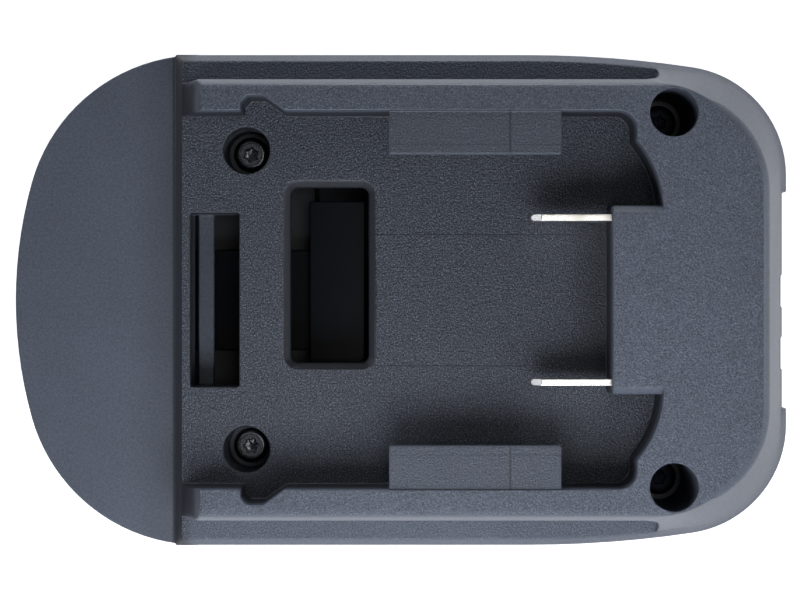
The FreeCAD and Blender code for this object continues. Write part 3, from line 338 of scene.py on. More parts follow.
@dataclass(frozen=True)
class MouldedShell:
    """Blue-grey housing plastic: satin on the skin, fine-grained on its raised faces.

    A pair is where a smooth step begins and ends. A tone is the share by which a spot is darker,
    and a painted shade is the share by which a spot is darkened for shade that falls there.
    A triple named mottle, painted_pit_shade, painted_glint or relief holds an effect's strength
    everywhere, what the grained faces add to it, and what the pocket's floor adds again.
    """

    name: str
    colour: Triple = (0.08, 0.09, 0.114)
    darkest: float = 0.12
    ior: float = 1.5
    satin_roughness: float = 0.46
    grain_roughness: float = 0.56
    uneven_roughness: float = 0.12
    # Sizes of the patterns: the first three in grains, the last two in metres.
    grain: float = 0.00027
    coarse_size: float = 1.5
    fine_size: float = 0.8
    pit_size: float = 1.3
    cloud_size: float = 0.02
    veil_size: float = 0.005
    # How the patterns show.
    grain_depth: float = 0.0002
    relief_shares: Triple = (0.35, 0.45, 0.4)
    fine_sharpness: float = 0.6
    # Where the painted highlights on the grain's crests begin and end.
    glint_range: Pair = (0.6, 0.74)
    # Where the painted shade in the grain's pits begins and ends.
    pit_range: Pair = (0.12, 0.4)
    mottle: Triple = (0.9, 1.6, 3.6)
    # Painted shade in the grain's pits.
    painted_pit_shade: Triple = (0.0, 0.24, 0.3)
    # Painted highlights on the grain's crests.
    painted_glint: Triple = (0.0, 0.4, 1.2)
    relief: Triple = (0.07, 0.9, 0.0)
    satin_mottle: float = 0.7
    cloud_mottle: float = 0.16
    veil_mottle: float = 0.12
    # Grained faces look up and lie above a level. Without a level there are none.
    grained_above: Pair | None = (0.033, 0.0332)
    flat_enough: Pair = (0.86, 0.92)
    # Painted shade on the floor inside the tool side's moulding, where no grained faces are.
    inside_start: Pair = (0.012, 0.0125)
    inside_end: Pair = (0.029, 0.0295)
    inside_flat: Pair = (0.4, 0.6)
    inside_painted_shade: float = 0.93
    # Painted shade in the pocket, and painted shadow on its floor's corner under the terminal
    # block.
    pocket_side: Pair = (0.0325, 0.033)
    pocket_low: Pair = (0.0285, 0.029)
    pocket_high: Pair = (0.039, 0.0425)
    pocket_front: Pair = (-0.0345, -0.034)
    pocket_back: Pair = (0.0396, 0.04)
    floor_painted_shade: float = 0.46
    wall_painted_shade: float = 0.36
    # Painted shadow on the floor in front of the terminal block, between its blades.
    corner_run: Pair = (0.0245, 0.0312)
    corner_side: Pair = (0.0112, 0.0128)
    block_painted_shadow: float = 0.3
    # Painted shade at the foot of the nose's step, fading in over the nose before it.
    approach_run: Pair = (-0.043, -0.0354)
    approach_shade_share: float = 0.28
    foot_start: Pair = (-0.0356, -0.0351)
    foot_end: Pair = (-0.0338, -0.0314)
    foot_low: Pair = (0.03, 0.031)
    foot_painted_shade: float = 0.44
    # The guide tabs with the lines of the mould's inserts, and the rails.
    tab_top: Pair = (0.0435, 0.0436)
    tab_inner: Pair = (0.0216, 0.0218)
    tab_outer: Pair = (0.0285, 0.0287)
    tab_start: Pair = (-0.0018, -0.0016)
    tab_end: Pair = (0.0243, 0.0245)
    tab_tone: float = 0.3
    joint_place: float = 0.0164
    joint_width: Pair = (0.0001, 0.00024)
    joint_tone: float = 0.4
    border_place: float = 0.0233
    border_width: Pair = (0.00005, 0.00015)
    border_tone: float = 0.2
    rail_inner: Pair = (0.0284, 0.0287)
    rail_end: Pair = (0.028, 0.036)
    rail_tone: float = 0.13

    def make(self) -> bpy.types.Material:
        """Builds the material.

        Returns:
            The finished material.
        """
        mix = Recipe(self.name)
        coarse = mix.noise(self.grain * self.coarse_size, 1.0)
        fine = mix.noise(self.grain * self.fine_size, 1.0, roughness=self.fine_sharpness)
        pits = mix.cells(self.grain * self.pit_size)
        cloud, veil = mix.noise(self.cloud_size), mix.noise(self.veil_size, 1.0)
        grained, deep, shade = self.zones(mix)

        def strength(levels: Triple) -> Signal:
            """An effect's strength at each spot."""
            return grained * levels[1] + deep * levels[2] + levels[0]

        mottle = 1.0 + (fine - 0.5) * strength(self.mottle) \
            + (coarse - 0.5) * (1.0 - grained) * self.satin_mottle \
            + (cloud - 0.5) * self.cloud_mottle + (veil - 0.5) * self.veil_mottle
        # Painted shade in the pits of the grain's relief.
        painted_pit_shades = pits.falls(*self.pit_range) * strength(self.painted_pit_shade)
        # Painted highlights on the crests of the grain's relief.
        painted_glints = fine.rises(*self.glint_range) * strength(self.painted_glint)
        # Painted highlights lighten the colour here and painted shade darkens it; the shade also
        # holds the tabs' lines and tone.
        tone = (mottle + painted_glints - painted_pit_shades) * (1.0 - shade)
        rough = (fine - 0.5) * self.uneven_roughness \
            + grained * (self.grain_roughness - self.satin_roughness) + self.satin_roughness
        of_coarse, of_fine, of_pits = self.relief_shares
        height = coarse * of_coarse + fine * of_fine + pits * of_pits
        return mix.finish(Base_Color=mix.tint(self.colour, tone.most(self.darkest)),
                          Roughness=rough, IOR=self.ior,
                          Normal=mix.bump(height, self.grain_depth, strength(self.relief)))

    def zones(self, mix: Recipe) -> tuple[Signal, Signal, Signal]:
        """Marks the parts of the surface that look different.

        Args:
            mix: The material under construction.

        Returns:
            The grained faces, those of them in the pocket, and how much darker each spot is:
            painted shade in the pocket, at the nose's step, beside the terminal block and inside
            the tool side's moulding, along with the tabs' lines and tone.
        """
        height = mix.axis("Z")
        upright = mix.axis("Z", mix.node("ShaderNodeTexCoord").outputs["Normal"])
        if self.grained_above is None:
            nowhere = height * 0.0
            # Painted shade on the upward faces inside the tool side's moulding.
            inside = height.rises(*self.inside_start) * height.falls(*self.inside_end)
            return nowhere, nowhere, inside * upright.rises(*self.inside_flat) * self.inside_painted_shade
        grained = height.rises(*self.grained_above) * upright.rises(*self.flat_enough)
        sunk = self.sunken(mix)
        deep = grained * sunk
        # Painted shadow on the pocket's floor in front of the terminal block, between its blades.
        corner = mix.axis("X").rises(*self.corner_run) * abs(mix.axis("Y")).falls(*self.corner_side)
        # Painted shade: the pocket's floor and walls are darkened, the walls more, for the shade in
        # the recess.
        shade = sunk * (self.floor_painted_shade + (1.0 - grained) * self.wall_painted_shade) \
            + self.tab_lines(mix) + deep * corner * self.block_painted_shadow
        return grained, deep, shade

    def sunken(self, mix: Recipe) -> Signal:
        """Marks where painted shade goes: the pocket that holds the battery's foot, and the foot
        of the nose's step.

        Args:
            mix: The material under construction.

        Returns:
            1 in the pocket, less at the step, and 0 elsewhere.
        """
        along, across, height = mix.axis("X"), abs(mix.axis("Y")), mix.axis("Z")
        pocket = across.falls(*self.pocket_side) * height.rises(*self.pocket_low) \
            * height.falls(*self.pocket_high) \
            * along.rises(*self.pocket_front) * along.falls(*self.pocket_back)
        # Painted shade at the foot of the nose's step, with a share of it fading in over the nose.
        foot = along.rises(*self.approach_run) * self.approach_shade_share \
            + along.rises(*self.foot_start) * (1.0 - self.approach_shade_share)
        foot = foot * along.falls(*self.foot_end) * height.rises(*self.foot_low)
        return pocket.most(foot * (self.foot_painted_shade / self.floor_painted_shade))

    def tab_lines(self, mix: Recipe) -> Signal:
        """Shades the guide tabs, the lines that the mould's inserts leave there, and the rails.

        Args:
            mix: The material under construction.

        Returns:
            How much darker each spot is.
        """
        along, across = mix.axis("X"), abs(mix.axis("Y"))
        raised = mix.axis("Z").rises(*self.tab_top)
        tab = raised * across.rises(*self.tab_inner) * across.falls(*self.tab_outer) \
            * along.rises(*self.tab_start) * along.falls(*self.tab_end)
        joint = abs(along - self.joint_place).falls(*self.joint_width) * self.joint_tone
        border = abs(across - self.border_place).falls(*self.border_width) * self.border_tone
        rail = raised * across.rises(*self.rail_inner) * along.falls(*self.rail_end)
        return tab * (joint.most(border) + self.tab_tone) + rail * self.rail_tone


@dataclass(frozen=True)
class PlainPlastic:
    """Moulded plastic with a fine even relief and faint clouding."""

    name: str
    colour: Triple
    roughness: float
    relief: float = 0.00001
    grain: float = 0.0004
    specular: float = 0.5
    ior: float = 1.5
    cloud_size: float = 0.012
    cloud_mottle: float = 0.2
    fine_mottle: float = 0.14
    cloud_roughness: float = 0.1
    fine_roughness: float = 0.05

    def make(self) -> bpy.types.Material:
        """Builds the material.

        Returns:
            The finished material.
        """
        mix = Recipe(self.name)
        fine, cloud = mix.noise(self.grain), mix.noise(self.cloud_size)
        tone = 1.0 + (cloud - 0.5) * self.cloud_mottle + (fine - 0.5) * self.fine_mottle
        rough = self.roughness + (cloud - 0.5) * self.cloud_roughness \
            + (fine - 0.5) * self.fine_roughness
        return mix.finish(Base_Color=mix.tint(self.colour, tone), Roughness=rough,
                          Normal=mix.bump(fine, self.relief), IOR=self.ior,
                          Specular_IOR_Level=self.specular)


@dataclass(frozen=True)
class PlatedMetal:
    """Rolled or drawn metal with a thin plate, brushed along one axis and stained in patches."""

    name: str
    colour: Triple
    stain: Triple
    roughness: float
    brushing: Triple = (1.0, 1.0, 1.0)
    streak: float = 0.00012
    streak_depth: float = 0.000006
    streak_mottle: float = 0.18
    streak_roughness: float = 0.14
    patch_size: float = 0.0035
    patch_detail: float = 3.0
    patch_range: Pair = (0.5, 0.75)
    patch_share: float = 0.45
    patch_roughness: float = 0.08

    def make(self) -> bpy.types.Material:
        """Builds the material.

        Returns:
            The finished material.
        """
        mix = Recipe(self.name)
        streaks = mix.noise(self.streak, place=mix.stretched(self.brushing))
        patches = mix.noise(self.patch_size, self.patch_detail).rises(*self.patch_range)
        colour = mix.blend(patches * self.patch_share, self.colour, self.stain)
        colour = mix.tint(colour, 1.0 + (streaks - 0.5) * self.streak_mottle)
        rough = self.roughness + (streaks - 0.5) * self.streak_roughness \
            + patches * self.patch_roughness
        return mix.finish(Base_Color=colour, Metallic=1.0, Roughness=rough,
                          Normal=mix.bump(streaks, self.streak_depth))


@dataclass(frozen=True)
class Finishes:
    """Every finish of the adapter, by the name under which its pieces ask for it."""

    shell_plastic: MouldedShell = MouldedShell("shell_plastic")
    tool_plastic: MouldedShell = MouldedShell("tool_side_plastic", grained_above=None)
    panel_plastic: PlainPlastic = PlainPlastic("panel_plastic", (0.044, 0.05, 0.066), 0.42)
    carrier_plastic: PlainPlastic = PlainPlastic("carrier_plastic", (0.014, 0.014, 0.016), 0.5)
    latch_plastic: PlainPlastic = PlainPlastic(
        "latch_plastic", (0.004, 0.005, 0.007), 0.24, 0.000003, specular=0.1)
    button_plastic: PlainPlastic = PlainPlastic("button_plastic", (0.02, 0.022, 0.028), 0.38)
    plated_brass: PlatedMetal = PlatedMetal(
        "plated_brass", (0.95, 0.93, 0.88), (0.9, 0.85, 0.74), 0.28, (0.08, 1.0, 1.0))
    zinc_steel: PlatedMetal = PlatedMetal(
        "zinc_steel", (0.62, 0.62, 0.6), (0.5, 0.46, 0.36), 0.3)
    black_steel: PlatedMetal = PlatedMetal(
        "black_steel", (0.17, 0.18, 0.2), (0.08, 0.08, 0.08), 0.2)
    # A darker copy of the black steel for the rear screws: painted shade for the deep wells they
    # sit in.
    dark_steel: PlatedMetal = PlatedMetal(
        "dark_steel", (0.02, 0.022, 0.03), (0.012, 0.012, 0.014), 0.5)
    spring_steel: PlatedMetal = PlatedMetal(
        "spring_steel", (0.55, 0.55, 0.54), (0.35, 0.3, 0.25), 0.28)
    red_insulation: PlainPlastic = PlainPlastic(
        "red_insulation", (0.42, 0.014, 0.012), 0.45, 0.00002)
    black_insulation: PlainPlastic = PlainPlastic(
        "black_insulation", (0.012, 0.012, 0.013), 0.45, 0.00002)
    witness_plastic: PlainPlastic = PlainPlastic("witness_plastic", (0.02, 0.023, 0.032), 0.6)
    sleeve_rubber: PlainPlastic = PlainPlastic("sleeve_rubber", (0.01, 0.01, 0.011), 0.55, 0.00003)


# Modelling


class Workshop:
    """Operator sequences that several pieces share."""

    SAME_POINT = 0.002 * MM
    NO_AREA = 0.001 * MM
    FLAT_ANGLE = math.radians(0.5)
    SMOOTH_ANGLE = math.radians(36)

    @staticmethod
    def only(piece: bpy.types.Object) -> None:
        """Makes one object the selected and active one."""
        bpy.ops.object.select_all(action="DESELECT")
        piece.select_set(True)
        bpy.context.view_layer.objects.active = piece

    @staticmethod
    def merged_copy(node: bpy.types.Object, name: str) -> bpy.types.Object:
        """Copies a solid's mesh, joins its loose triangles and melts the flat ones together.

        Args:
            node: The solid's object.
            name: The copy's name.

        Returns:
            The copy.
        """
        copy = bpy.data.objects.new(name, node.data.copy())
        bpy.context.collection.objects.link(copy)
        copy.data.materials.clear()
        Workshop.only(copy)
        bpy.ops.object.mode_set(mode="EDIT")
        bpy.ops.mesh.select_all(action="SELECT")
        bpy.ops.mesh.remove_doubles(threshold=Workshop.SAME_POINT)
        bpy.ops.mesh.select_all(action="SELECT")
        bpy.ops.mesh.dissolve_limited(angle_limit=Workshop.FLAT_ANGLE)
        bpy.ops.mesh.customdata_custom_splitnormals_clear()
        bpy.ops.object.mode_set(mode="OBJECT")
        return copy

    @staticmethod
    def soften(piece: bpy.types.Object, radius: float, segments: int = 3, angle: float = 26.0,
               spare: Callable[[Vector], bool] = lambda middle: False) -> None:
        """Rounds the sharp edges within the piece's own box, then shades by angle.

        Args:
            piece: The piece to round.
            radius: The rounding's width in metres.
            segments: Steps across each rounding.
            angle: Least angle in degrees that counts as an edge.
            spare: Tells from an edge's middle whether it stays sharp.
        """
        weights = piece.data.attributes.new("bevel_weight_edge", "FLOAT", "EDGE")
        mesh = bmesh.new()
        mesh.from_mesh(piece.data)
        limit = math.radians(angle)
        for edge in mesh.edges:
            sharp = len(edge.link_faces) == 2 and edge.calc_face_angle(0.0) > limit
            middle = (edge.verts[0].co + edge.verts[1].co) / 2
            weights.data[edge.index].value = float(sharp and not spare(middle))
        mesh.free()
        Workshop.only(piece)
        bevel = piece.modifiers.new("Rounding", "BEVEL")
        bevel.width = radius
        bevel.segments = segments
        bevel.limit_method = "WEIGHT"
        bevel.use_clamp_overlap = False
        bevel.miter_outer = "MITER_ARC"
        low, high = Vector(piece.bound_box[0]), Vector(piece.bound_box[6])
        bpy.ops.object.modifier_apply(modifier=bevel.name)
        for vert in piece.data.vertices:
            for axis in range(3):
                vert.co[axis] = min(max(vert.co[axis], low[axis]), high[axis])
        bpy.ops.object.mode_set(mode="EDIT")
        bpy.ops.mesh.select_all(action="SELECT")
        bpy.ops.mesh.dissolve_degenerate(threshold=Workshop.NO_AREA)
        bpy.ops.object.mode_set(mode="OBJECT")
        bpy.ops.object.shade_smooth_by_angle(angle=Workshop.SMOOTH_ANGLE)
        even = piece.modifiers.new("Even shading", "WEIGHTED_NORMAL")
        even.keep_sharp = True
        bpy.ops.object.modifier_apply(modifier=even.name)

    @staticmethod
    def pick(piece: bpy.types.Object, test: Callable[[Any], bool]) -> None:
        """Selects the faces that pass a test.

        Args:
            piece: The piece, already in edit mode.
            test: The test.
        """
        bpy.ops.mesh.select_all(action="DESELECT")
        mesh = bmesh.from_edit_mesh(piece.data)
        for face in mesh.faces:
            if test(face):
                face.select_set(True)
        bmesh.update_edit_mesh(piece.data)

    @staticmethod
    def join(parts: list[bpy.types.Object], name: str) -> bpy.types.Object:
        """Joins objects into the first and names it."""
        bpy.ops.object.select_all(action="DESELECT")
        for part in parts:
            part.select_set(True)
        bpy.context.view_layer.objects.active = parts[0]
        if len(parts) > 1:
            bpy.ops.object.join()
        parts[0].name = name
        return parts[0]

    @staticmethod
    def settle(piece: bpy.types.Object) -> None:
        """Puts the object's place into its mesh."""
        Workshop.only(piece)
        bpy.ops.object.transform_apply(location=True, rotation=True, scale=True)


def hand_over(piece: bpy.types.Object, rider: Rider, slot: str, material: bpy.types.Material,
              *nodes: str) -> None:
    """Gives a piece its finish and its body, and hides the solids that it stands for.

    Args:
        piece: The piece.
        rider: The body that it rides on.
        slot: The name of its material slot; not used.
        material: Its material.
        nodes: Names of the solids that it replaces.
    """
    piece.data.materials.clear()
    piece.data.materials.append(material)
    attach(piece, rider.value)
    if nodes:
        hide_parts(*nodes)
    LOG.info("%s rides on %s", piece.name, rider.value)


@dataclass(frozen=True)
class Moulding:
    """One moulding that keeps the form of its solid."""

    node: str
    name: str
    slot: str
    material: str
    rounding: float = 0.2 * MM
    rider: Rider = Rider.HOUSING


@dataclass
class Mouldings:
    """The plastic parts that keep the form of their solids and get rounded edges."""

    solids: dict[str, bpy.types.Object]
    materials: dict[str, bpy.types.Material]
    cover: str = "battery_side_shell"
    cover_angle: float = 34.0
    same_level: float = 0.02 * MM
    crest_rounding: float = 0.9 * MM
    crest_level: float = 43.5 * MM
    crest_x: float = -29.8 * MM
    crest_reach: float = 1.5 * MM
    crest_least: float = 0.6 * MM
    crest_skew: float = 0.01 * MM
    crease_rounding: float = 1.2 * MM
    crease_level: float = 43.65 * MM
    crease_start: float = 47.0 * MM
    window_rounding: float = 0.9 * MM
    window_level: float = 33.5 * MM
    window_box: Triple = (-21.0 * MM, -4.8 * MM, 14.5 * MM)
    pinches: tuple[Pair, ...] = ((39.2 * MM, 31.3 * MM), (44.15 * MM, 30.0 * MM))
    pinch_reach: float = 0.75 * MM
    ease_steps: int = 4
    pieces: tuple[Moulding, ...] = (
        Moulding("battery_side_shell", "battery_side_cover", "shell_plastic", "shell_plastic",
                 rounding=0.28 * MM),
        Moulding("tool_side_shell", "tool_side_tub", "shell_plastic", "tool_plastic",
                 rounding=0.28 * MM),
        Moulding("end_panel", "terminal_end_panel", "panel_plastic", "panel_plastic"),
        Moulding("blade_carrier", "blade_block", "carrier_plastic", "carrier_plastic"),
        Moulding("clip_carrier", "clip_block", "carrier_plastic", "carrier_plastic"),
        Moulding("release_latch", "latch_slider", "latch_plastic", "latch_plastic",
                 rider=Rider.LATCH),
        Moulding("release_button", "latch_button", "button_plastic", "button_plastic",
                 rider=Rider.LATCH),
    )

    def build(self) -> None:
        """Makes a rounded copy of each moulding's solid and hands it over."""
        for row in self.pieces:
            piece = Workshop.merged_copy(self.solids[row.node], row.name)
            if row.node == self.cover:
                self.ease(piece, self.crest_rounding, self.on_crest)
                self.ease(piece, self.crease_rounding, self.on_crease)
                self.ease(piece, self.window_rounding, self.on_window)
                Workshop.soften(piece, row.rounding, angle=self.cover_angle, spare=self.at_pinch)
            else:
                Workshop.soften(piece, row.rounding)
            hand_over(piece, row.rider, row.slot, self.materials[row.material], row.node)

    def ease(self, piece: bpy.types.Object, width: float,
             test: Callable[[Vector, Vector], bool]) -> None:
        """Rounds chosen edges more widely than the rest.

        Args:
            piece: The piece.
            width: The rounding's width.
            test: Tells from an edge's two ends whether it is rounded.
        """
        Workshop.only(piece)
        bpy.ops.object.mode_set(mode="EDIT")
        bpy.ops.mesh.select_mode(type="EDGE")
        bpy.ops.mesh.select_all(action="DESELECT")
        mesh = bmesh.from_edit_mesh(piece.data)
        for edge in mesh.edges:
            if test(edge.verts[0].co, edge.verts[1].co):
                edge.select_set(True)
        bpy.ops.mesh.bevel(offset=width, segments=self.ease_steps, affect="EDGES",
                           clamp_overlap=True)
        bpy.ops.mesh.select_mode(type="VERT")
        bpy.ops.object.mode_set(mode="OBJECT")

    def on_crest(self, first: Vector, second: Vector) -> bool:
        """Whether an edge lies across the crest of a rail's front ramp."""
        crosswise = abs(first.x - second.x) < self.crest_skew \
            and (first - second).length > self.crest_least
        return crosswise and first.z > self.crest_level \
            and abs(first.x - self.crest_x) < self.crest_reach

    def on_crease(self, first: Vector, second: Vector) -> bool:
        """Whether an edge lies on the crease round the terminal end's plateau."""
        return all(spot.x > self.crease_start and abs(spot.z - self.crease_level) < self.same_level
                   for spot in (first, second))

    def on_window(self, first: Vector, second: Vector) -> bool:
        """Whether an edge lies on the latch window's upper rim."""
        start, end, half = self.window_box
        return all(start < spot.x < end and abs(spot.y) < half
                   and abs(spot.z - self.window_level) < self.same_level
                   for spot in (first, second))

    def at_pinch(self, middle: Vector) -> bool:
        """Whether an edge lies where a rear well's rim leaves the plateau's flat top."""
        return middle.z > self.crest_level and any(
            math.hypot(middle.x - along, abs(middle.y) - across) < self.pinch_reach
            for along, across in self.pinches)


@dataclass
class Contacts:
    """The stamped blades and clips, and the wiring between them."""

    solids: dict[str, bpy.types.Object]
    materials: dict[str, bpy.types.Material]
    stamped_rounding: float = 0.1 * MM
    latch_travel: float = 4.8 * MM
    wire_angle: float = 60.0

    def build(self) -> None:
        """Builds the contacts and dresses the wiring."""
        for side in ("positive", "negative"):
            for node, name in ((f"blade_{side}", f"battery_blade_{side}"),
                               (f"clip_{side}", f"tool_clip_{side}")):
                piece = Workshop.merged_copy(self.solids[node], name)
                Workshop.soften(piece, self.stamped_rounding, segments=2)
                hand_over(piece, Rider.HOUSING, "plated_brass", self.materials["plated_brass"],
                          node)
        self.dress("lead_positive", "red_insulation")
        self.dress("lead_negative", "black_insulation")
        for place in ("blade", "clip"):
            for side in ("positive", "negative"):
                self.dress(f"{place}_sleeve_{side}", "sleeve_rubber")
        for side in ("left", "right"):
            self.spring(f"latch_spring_{side}", f"return_spring_{side}")

    def spring(self, node: str, name: str) -> None:
        """Copies a return spring and gives the copy a mesh of its own.

        Args:
            node: The spring's solid.
            name: The copy's name.
        """
        piece = Workshop.merged_copy(self.solids[node], name)
        bpy.ops.object.shade_smooth_by_angle(angle=math.radians(self.wire_angle))
        hand_over(piece, Rider.HOUSING, "spring_steel", self.materials["spring_steel"], node)
        low, high = (Vector(corner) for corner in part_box(node))
        left_over = 1.0 - self.latch_travel / (high.z - low.z)
        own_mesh(piece)

    def dress(self, node: str, material: str) -> None:
        """Gives its material to a solid that stays."""
        solid = self.solids[node]
        solid.data.materials.clear()
        solid.data.materials.append(self.materials[material])
        LOG.info("%s keeps its solid", node)


@dataclass
class ScrewPair:
    """Two alike pan-head screws with a rolled thread, in place of the two solids of one node."""

    node: str
    name: str
    rider: Rider
    slot: str
    material: bpy.types.Material
    head_diameter: float
    head_height: float
    shank_diameter: float
    head_sides: int = 48
    head_down: bool = False
    head_turns: Pair = (0.4, 1.1)
    dome_share: float = 0.42
    dome_steps: int = 5
    lid_normal: float = 0.999
    lid_corners: int = 8
    ring_width: float = 0.0
    ring_groove: Pair = (0.08 * MM, 0.14 * MM)
    drive: Drive = Drive.SIX_LOBE
    drive_width: float = 2.6 * MM
    drive_depth: float = 1.1 * MM
    drive_waist: float = 0.8
    drive_flank: float = 1.5
    drive_rim: float = 0.06 * MM
    drive_floor: Pair = (0.35 * MM, 0.1 * MM)
    shank_sides: int = 32
    tip_share: float = 0.6
    thread_pitch: float = 1.1 * MM
    thread_depth: float = 0.3 * MM
    thread_stand_off: float = 0.25
    thread_steps: int = 24
    bare_length: float = 1.2 * MM
    tip_length: float = 0.5 * MM
    shade_angle: float = 34.0

    def head(self) -> bpy.types.Object:
        """Models the head on the origin: a domed disc, a lobed recess, perhaps a pressed ring.

        Returns:
            The head.
        """
        bpy.ops.mesh.primitive_cylinder_add(
            vertices=self.head_sides, radius=self.head_diameter / 2, depth=self.head_height,
            location=(0, 0, self.head_height / 2))
        head = bpy.context.object
        bpy.ops.object.mode_set(mode="EDIT")
        Workshop.pick(head, lambda face: face.normal.z > UPWARD)
        bpy.ops.mesh.bevel(offset=self.head_height * self.dome_share, segments=self.dome_steps,
                           affect="EDGES", clamp_overlap=True)
        Workshop.pick(head, lambda face: face.normal.z > self.lid_normal
                      and len(face.verts) > self.lid_corners)
        if self.ring_width > 0:
            width, depth = self.ring_groove
            bpy.ops.mesh.inset(thickness=self.ring_width, depth=0.0)
            bpy.ops.mesh.inset(thickness=width, depth=-depth)
        mesh = bmesh.from_edit_mesh(head.data)
        reach = max(vert.co.xy.length for vert in mesh.verts if vert.select)
        bpy.ops.mesh.inset(thickness=reach - self.drive_width / 2, depth=0.0)
        self.lobes(head)
        bpy.ops.mesh.inset(thickness=self.drive_rim, depth=-self.drive_rim)
        bpy.ops.mesh.extrude_region_move(
            TRANSFORM_OT_translate={"value": (0, 0, -self.drive_depth)})
        inward, down = self.drive_floor
        bpy.ops.mesh.inset(thickness=inward, depth=-down)
        bpy.ops.object.mode_set(mode="OBJECT")
        return head

    def lobes(self, head: bpy.types.Object) -> None:
        """Draws the recess's rim in between its lobes."""
        mesh = bmesh.from_edit_mesh(head.data)
        for vert in mesh.verts:
            if vert.select:
                angle = math.atan2(vert.co.y, vert.co.x)
                wave = 0.5 + 0.5 * math.cos(self.drive.value * angle)
                lobe = (1.0 - self.drive_waist) * wave ** self.drive_flank
                vert.co.xy *= self.drive_waist + lobe
        bmesh.update_edit_mesh(head.data)

    def shank(self, length: float) -> list[bpy.types.Object]:
        """Models the shank's core with its point, and the thread around it, under the origin.

        Args:
            length: Length under the head.

        Returns:
            The core and the thread.
        """
        core_radius = self.shank_diameter / 2 - self.thread_depth
        bpy.ops.mesh.primitive_cylinder_add(vertices=self.shank_sides, radius=core_radius,
                                            depth=length, location=(0, 0, -length / 2))
        core = bpy.context.object
        bpy.ops.object.mode_set(mode="EDIT")
        Workshop.pick(core, lambda face: face.normal.z < -UPWARD)
        bpy.ops.mesh.bevel(offset=core_radius * self.tip_share, segments=2, affect="EDGES")
        bpy.ops.object.mode_set(mode="OBJECT")
        # The thread's section is a triangle whose crest stands a thread's depth off the core.
        crest = self.thread_depth * (1.0 - self.thread_stand_off)
        bpy.ops.mesh.primitive_circle_add(vertices=3, radius=crest, fill_type="NOTHING",
                                          rotation=(math.pi / 2, 0, 0))
        thread = bpy.context.object
        Workshop.settle(thread)
        for vert in thread.data.vertices:
            vert.co.x += core_radius + self.thread_depth * self.thread_stand_off
        coil = thread.modifiers.new("Thread", "SCREW")
        coil.angle = 2 * math.pi
        coil.screw_offset = self.thread_pitch
        coil.iterations = int((length - self.bare_length) / self.thread_pitch)
        coil.steps = coil.render_steps = self.thread_steps
        coil.axis = "Z"
        Workshop.only(thread)
        bpy.ops.object.modifier_apply(modifier=coil.name)
        bpy.ops.object.mode_set(mode="EDIT")
        bpy.ops.mesh.select_all(action="DESELECT")
        bpy.ops.mesh.select_non_manifold()
        bpy.ops.mesh.fill_holes(sides=3)
        bpy.ops.mesh.select_all(action="SELECT")
        bpy.ops.mesh.normals_make_consistent(inside=False)
        bpy.ops.object.mode_set(mode="OBJECT")
        thread.location = (0, 0, self.tip_length - length)
        return [core, thread]

    def build(self) -> None:
        """Models one screw where each of the node's two stands, and hands the pair over."""
        low, high = (Vector(corner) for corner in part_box(self.node))
        length = high.z - low.z - self.head_height
        reach_y = high.y - self.head_diameter / 2
        seat = low.z + self.head_height if self.head_down else high.z - self.head_height
        parts: list[bpy.types.Object] = []
        for sign, turn in zip((1, -1), self.head_turns):
            whole = Workshop.join([self.head(), *self.shank(length)], f"{self.name}_{sign}")
            if self.head_down:
                whole.rotation_euler = (math.pi, 0, 0)
            whole.rotation_euler.z = turn
            whole.location = ((low.x + high.x) / 2, sign * reach_y, seat)
            Workshop.settle(whole)
            parts.append(whole)
        pair = Workshop.join(parts, self.name)
        Workshop.settle(pair)
        bpy.ops.object.shade_smooth_by_angle(angle=math.radians(self.shade_angle))
        hand_over(pair, self.rider, self.slot, self.material, self.node)


@dataclass
class MouldMarks:
    """The faint witness lines that the mould's inserts leave on the pocket's floor."""

    material: bpy.types.Material
    deck: float = 33.5 * MM
    width: float = 0.16 * MM
    height: float = 0.035 * MM
    bevel_share: float = 0.8
    shade_angle: float = 30.0
    runs_mm: tuple[tuple[float, float, float, float], ...] = (
        (-4.0, 10.06, 27.6, 10.06),
        (-4.0, -10.2, 19.0, -10.2),
        (-4.0, -10.2, -4.0, 10.06),
    )

    def build(self) -> None:
        """Raises one low ridge along each run, half of it in the floor, and joins them."""
        parts: list[bpy.types.Object] = []
        for x0, y0, x1, y1 in self.runs_mm:
            middle = ((x0 + x1) / 2 * MM, (y0 + y1) / 2 * MM, self.deck)
            size = (abs(x1 - x0) * MM + self.width, abs(y1 - y0) * MM + self.width,
                    self.height * 2)
            bpy.ops.mesh.primitive_cube_add(size=1.0, location=middle, scale=size)
            ridge = bpy.context.object
            Workshop.settle(ridge)
            bpy.ops.object.mode_set(mode="EDIT")
            Workshop.pick(ridge, lambda face: face.normal.z > UPWARD)
            bpy.ops.mesh.bevel(offset=self.height * self.bevel_share, segments=2, affect="EDGES")
            bpy.ops.object.mode_set(mode="OBJECT")
            parts.append(ridge)
        marks = Workshop.join(parts, "mould_witness_lines")
        bpy.ops.object.shade_smooth_by_angle(angle=math.radians(self.shade_angle))
        hand_over(marks, Rider.HOUSING, "shell_plastic", self.material)


# Studio


@dataclass(frozen=True)
class Softbox:
    """One square lamp aimed at the adapter, by its bearing from the adapter's middle."""

    name: str
    azimuth: float
    elevation: float
    distance: float
    size: float
    power: float
    aim: Triple = (0.0, 0.0, 0.035)
    colour: Triple = (0.93, 0.98, 1.07)

    def hang(self) -> None:
        """Adds the lamp, hidden from the camera."""
        data = bpy.data.lights.new(self.name, "AREA")
        data.shape = "SQUARE"
        data.size = self.size
        data.energy = self.power
        data.color = self.colour
        lamp = bpy.data.objects.new(self.name, data)
        bpy.context.collection.objects.link(lamp)
        turn, rise = math.radians(self.azimuth), math.radians(self.elevation)
        away = Vector((math.cos(rise) * math.cos(turn), math.cos(rise) * math.sin(turn),
                       math.sin(rise)))
        lamp.location = Vector(self.aim) + away * self.distance
        lamp.rotation_euler = away.to_track_quat("Z", "Y").to_euler()
        lamp.visible_camera = False


